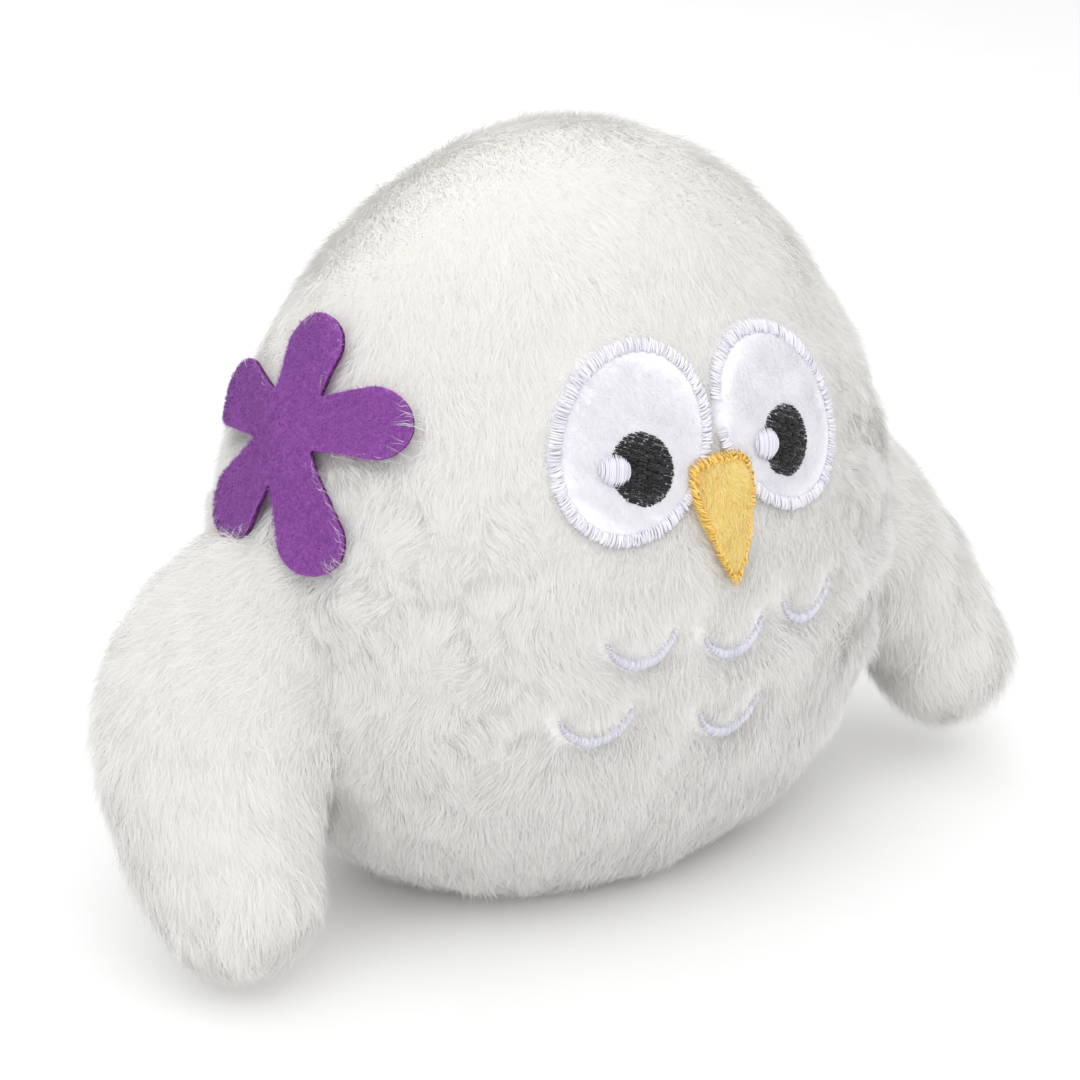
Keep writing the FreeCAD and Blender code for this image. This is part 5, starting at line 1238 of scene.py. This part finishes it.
def wing_section(tip, t, reach, steps):
    """A ring of the wing's form; reach runs past the end by that share of its thickness."""
    centre = bezier((WING_ROOT, WING_BEND, tip), t)
    along = unit((WING_BEND - WING_ROOT) * (1 - t) + (tip - WING_BEND) * t)
    half_chord = bezier(WING_HALF_CHORDS, t)
    half_thick = bezier(WING_HALF_THICKS, t)
    chord = np.array([math.cos(WING_CHORD_ANGLE), math.sin(WING_CHORD_ANGLE), 0])
    chord = unit(chord - along * chord.dot(along))
    normal = np.cross(along, chord)
    shrink = math.sqrt(1 - reach * reach)
    angle = np.linspace(0, 2 * math.pi, steps, endpoint=False)
    ring = np.cos(angle)[:, None] * chord * half_chord + np.sin(angle)[:, None] * normal * half_thick
    return centre + along * reach * half_thick + shrink * ring


def wing_mesh(side):
    """Points and faces of a whole wing, root first."""
    steps = 64
    stations = [(0.0, -0.9), (0.0, -0.6)] + [(t, 0.0) for t in np.linspace(0, 1, 30)]
    stations += [(1.0, r) for r in (0.25, 0.48, 0.68, 0.83, 0.93, 0.985)]
    verts = np.concatenate([wing_section(WING_TIPS[side], t, reach, steps) for t, reach in stations])
    ends = [verts[:steps].mean(axis=0), verts[-steps:].mean(axis=0)]
    verts = np.concatenate([verts, ends])
    quads = grid_faces(len(stations), steps)
    ring = np.arange(steps)
    following = np.roll(ring, -1)
    last = (len(stations) - 1) * steps
    caps = np.concatenate([
        np.stack([following, ring, np.full(steps, len(verts) - 2)], axis=-1),
        np.stack([ring + last, following + last, np.full(steps, len(verts) - 1)], axis=-1)])
    if side < 0:
        verts = verts * np.array([-1, 1, 1])
        quads, caps = quads[:, ::-1], caps[:, ::-1]
    return verts, quads, caps


def blend_wing(piece):
    """Makes the piece's placement part of its mesh."""
    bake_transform(piece)


def wing_rule(side):
    mirror = np.array([side, 1, 1])
    tip = WING_TIPS[side]
    table = np.linspace(0, 1, 60)
    spine = np.array([bezier((WING_ROOT, WING_BEND, tip), t) for t in table]) * mirror
    ways = unit(np.array([(WING_BEND - WING_ROOT) * (1 - t) + (tip - WING_BEND) * t for t in table])) * mirror

    def rule(roots, normals):
        nearest = np.argmin(((roots[:, None] - spine[None]) ** 2).sum(axis=2), axis=1)
        t = table[nearest]
        swirl = np.clip(waves(roots, 30 * MM, 21), -1.2, 1.2)
        fine = np.clip(waves(roots, 11 * MM, 22), -1.2, 1.2)
        inner = smooth(0.15, 0.8, t)
        ruffle = 0.15 + 0.5 * (1 - smooth(0.0, 0.3, t)) + 0.15 * inner
        comb = ways[nearest] + np.array([0, 0, -0.35]) + 0.25 * swirl + 0.6 * ruffle[:, None] * fine
        length = WING_PILE_LENGTH * (0.80 + 0.35 * inner) * (1 + 0.12 * fine[:, 1])
        length = length * (1 - 0.3 * flower_cover(roots))
        lift = 0.34 + 0.12 * ruffle
        curl = (0.25 + 0.3 * ruffle) * MM
        pull = 0.12 + 0.20 * inner
        return flatten(comb, normals), length, lift, curl, pull

    return rule


def build_wing(name, side):
    verts, quads, caps = wing_mesh(side)
    cloth = make_piece(f"wing_{name}_cloth", verts, [quads, caps], [BACKING])
    puff(cloth, 3.0 * MM)
    verts = points_of(cloth.data)
    tris = triangles_of(cloth)
    normals = vertex_normals(verts, tris)

    def sample(count, rng):
        roots, ways = scatter(verts, tris, normals, count, rng)
        outside = body_depth(roots, 0.0) > -0.5 * MM
        return roots[outside], ways[outside]

    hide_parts(f"wing_{name}_skin")
    blend_wing(cloth)
    for piece in pile(f"wing_{name}_pile", sample, area_of(verts, tris), wing_rule(side), PILE, 120 + side):
        blend_wing(piece)


def puff(piece, cap):
    """Blows a closed form up as cloth under a light pressure, moving no point further than cap."""
    scene = bpy.context.scene
    body = bpy.data.objects.new("puffing", piece.data.copy())
    scene.collection.objects.link(body)
    remesh = body.modifiers.new("remesh", "REMESH")
    remesh.mode = "VOXEL"
    remesh.voxel_size = 4.0 * MM
    apply_modifiers(body)
    before = points_of(body.data)
    cloth = body.modifiers.new("cloth", "CLOTH")
    cloth.settings.use_pressure = True
    cloth.settings.uniform_pressure_force = 4.0
    cloth.settings.effector_weights.gravity = 0.0
    cloth.settings.quality = 5
    for number in range(1, 21):
        scene.frame_set(number)
    graph = bpy.context.evaluated_depsgraph_get()
    moved = points_of(body.evaluated_get(graph).to_mesh()) - before
    bpy.data.objects.remove(body)
    scene.frame_set(1)
    size = np.linalg.norm(moved, axis=1, keepdims=True)
    moved *= np.minimum(1, cap / np.maximum(size, 1e-9))
    tree = KDTree(len(before))
    for number, place in enumerate(before):
        tree.insert(place, number)
    tree.balance()
    verts = points_of(piece.data)
    for number, place in enumerate(verts.copy()):
        found = tree.find_n(place, 6)
        weight = np.array([1 / (f[2] + 1 * MM) for f in found])
        shift = np.array([moved[f[1]] for f in found])
        verts[number] += (shift * weight[:, None]).sum(axis=0) / weight.sum()
    verts[:, 2] = np.maximum(verts[:, 2], 1.0 * MM)
    piece.data.vertices.foreach_set("co", verts.ravel())
    piece.data.update()


# ================================================================ studio
def build_studio():
    scene = bpy.context.scene
    right = Vector((math.cos(CAMERA_AZIMUTH), math.sin(CAMERA_AZIMUTH), 0))
    back = Vector((math.sin(CAMERA_AZIMUTH) * math.cos(CAMERA_ELEVATION),
                   -math.cos(CAMERA_AZIMUTH) * math.cos(CAMERA_ELEVATION), math.sin(CAMERA_ELEVATION)))
    up = back.cross(right)
    aim = right * AIM_ACROSS + Vector((0, 0, AIM_HEIGHT))
    turned_right = math.cos(CAMERA_ROLL) * right + math.sin(CAMERA_ROLL) * up
    turned_up = -math.sin(CAMERA_ROLL) * right + math.cos(CAMERA_ROLL) * up
    camera = bpy.data.objects.new("camera", bpy.data.cameras.new("camera"))
    camera.data.lens = CAMERA_LENS
    camera.data.sensor_width = 36.0
    camera.data.clip_start = 0.01
    matrix = camera.matrix_world.copy()
    for row in range(3):
        matrix[row][0], matrix[row][1], matrix[row][2] = turned_right[row], turned_up[row], back[row]
    matrix.translation = aim + back * CAMERA_DISTANCE
    camera.matrix_world = matrix
    scene.collection.objects.link(camera)
    scene.camera = camera

    def softbox(name, place, size, power):
        light = bpy.data.objects.new(name, bpy.data.lights.new(name, "AREA"))
        light.data.energy = power
        light.data.size = size
        light.location = place
        light.rotation_euler = (Vector(place) - Vector((0, 0, 0.08))).to_track_quat("Z", "Y").to_euler()
        scene.collection.objects.link(light)

    softbox("key_light", (-0.75, -0.60, 1.00), 1.5, 7.4)
    softbox("top_light", (0.05, -0.15, 1.30), 1.7, 7.4)
    softbox("fill_light", (0.75, -0.85, 0.75), 1.5, 2.6)
    softbox("back_light", (0.1, 0.95, 0.8), 0.8, 3.0)
    world = bpy.data.worlds.new("studio")
    world.use_nodes = True
    world.node_tree.nodes["Background"].inputs["Color"].default_value = (1.0, 1.0, 1.0, 1.0)
    world.node_tree.nodes["Background"].inputs["Strength"].default_value = 0.62
    scene.world = world
    scene.view_settings.view_transform = "Standard"
    scene.cycles.diffuse_bounces = 10
    scene.cycles.max_bounces = 12
    size = 4.0
    floor = make_piece("floor", np.array([[-size, -size, 0], [size, -size, 0], [size, size, 0], [-size, size, 0]]),
                       [np.array([[0, 1, 2, 3]])],
                       [textured(finish("floor_paper", (0.93, 0.93, 0.93), 0.9), (0.92, 0.92, 0.92), 30, 0.02, 0.1 * MM)])


# ================================================================ the whole owl
build_studio()
dress_nodes()
build_body_cloth()
build_flap()
build_base()
build_filling()
for seed, eye in enumerate(WINGS):
    build_eye(eye, 31 + 4 * seed)
    build_pupil(eye, 33 + 4 * seed)
build_glints()
build_beak()
build_scallops()
build_flower()
build_strays()
build_body_pile()
for wing, sign in WINGS.items():
    build_wing(wing, sign)
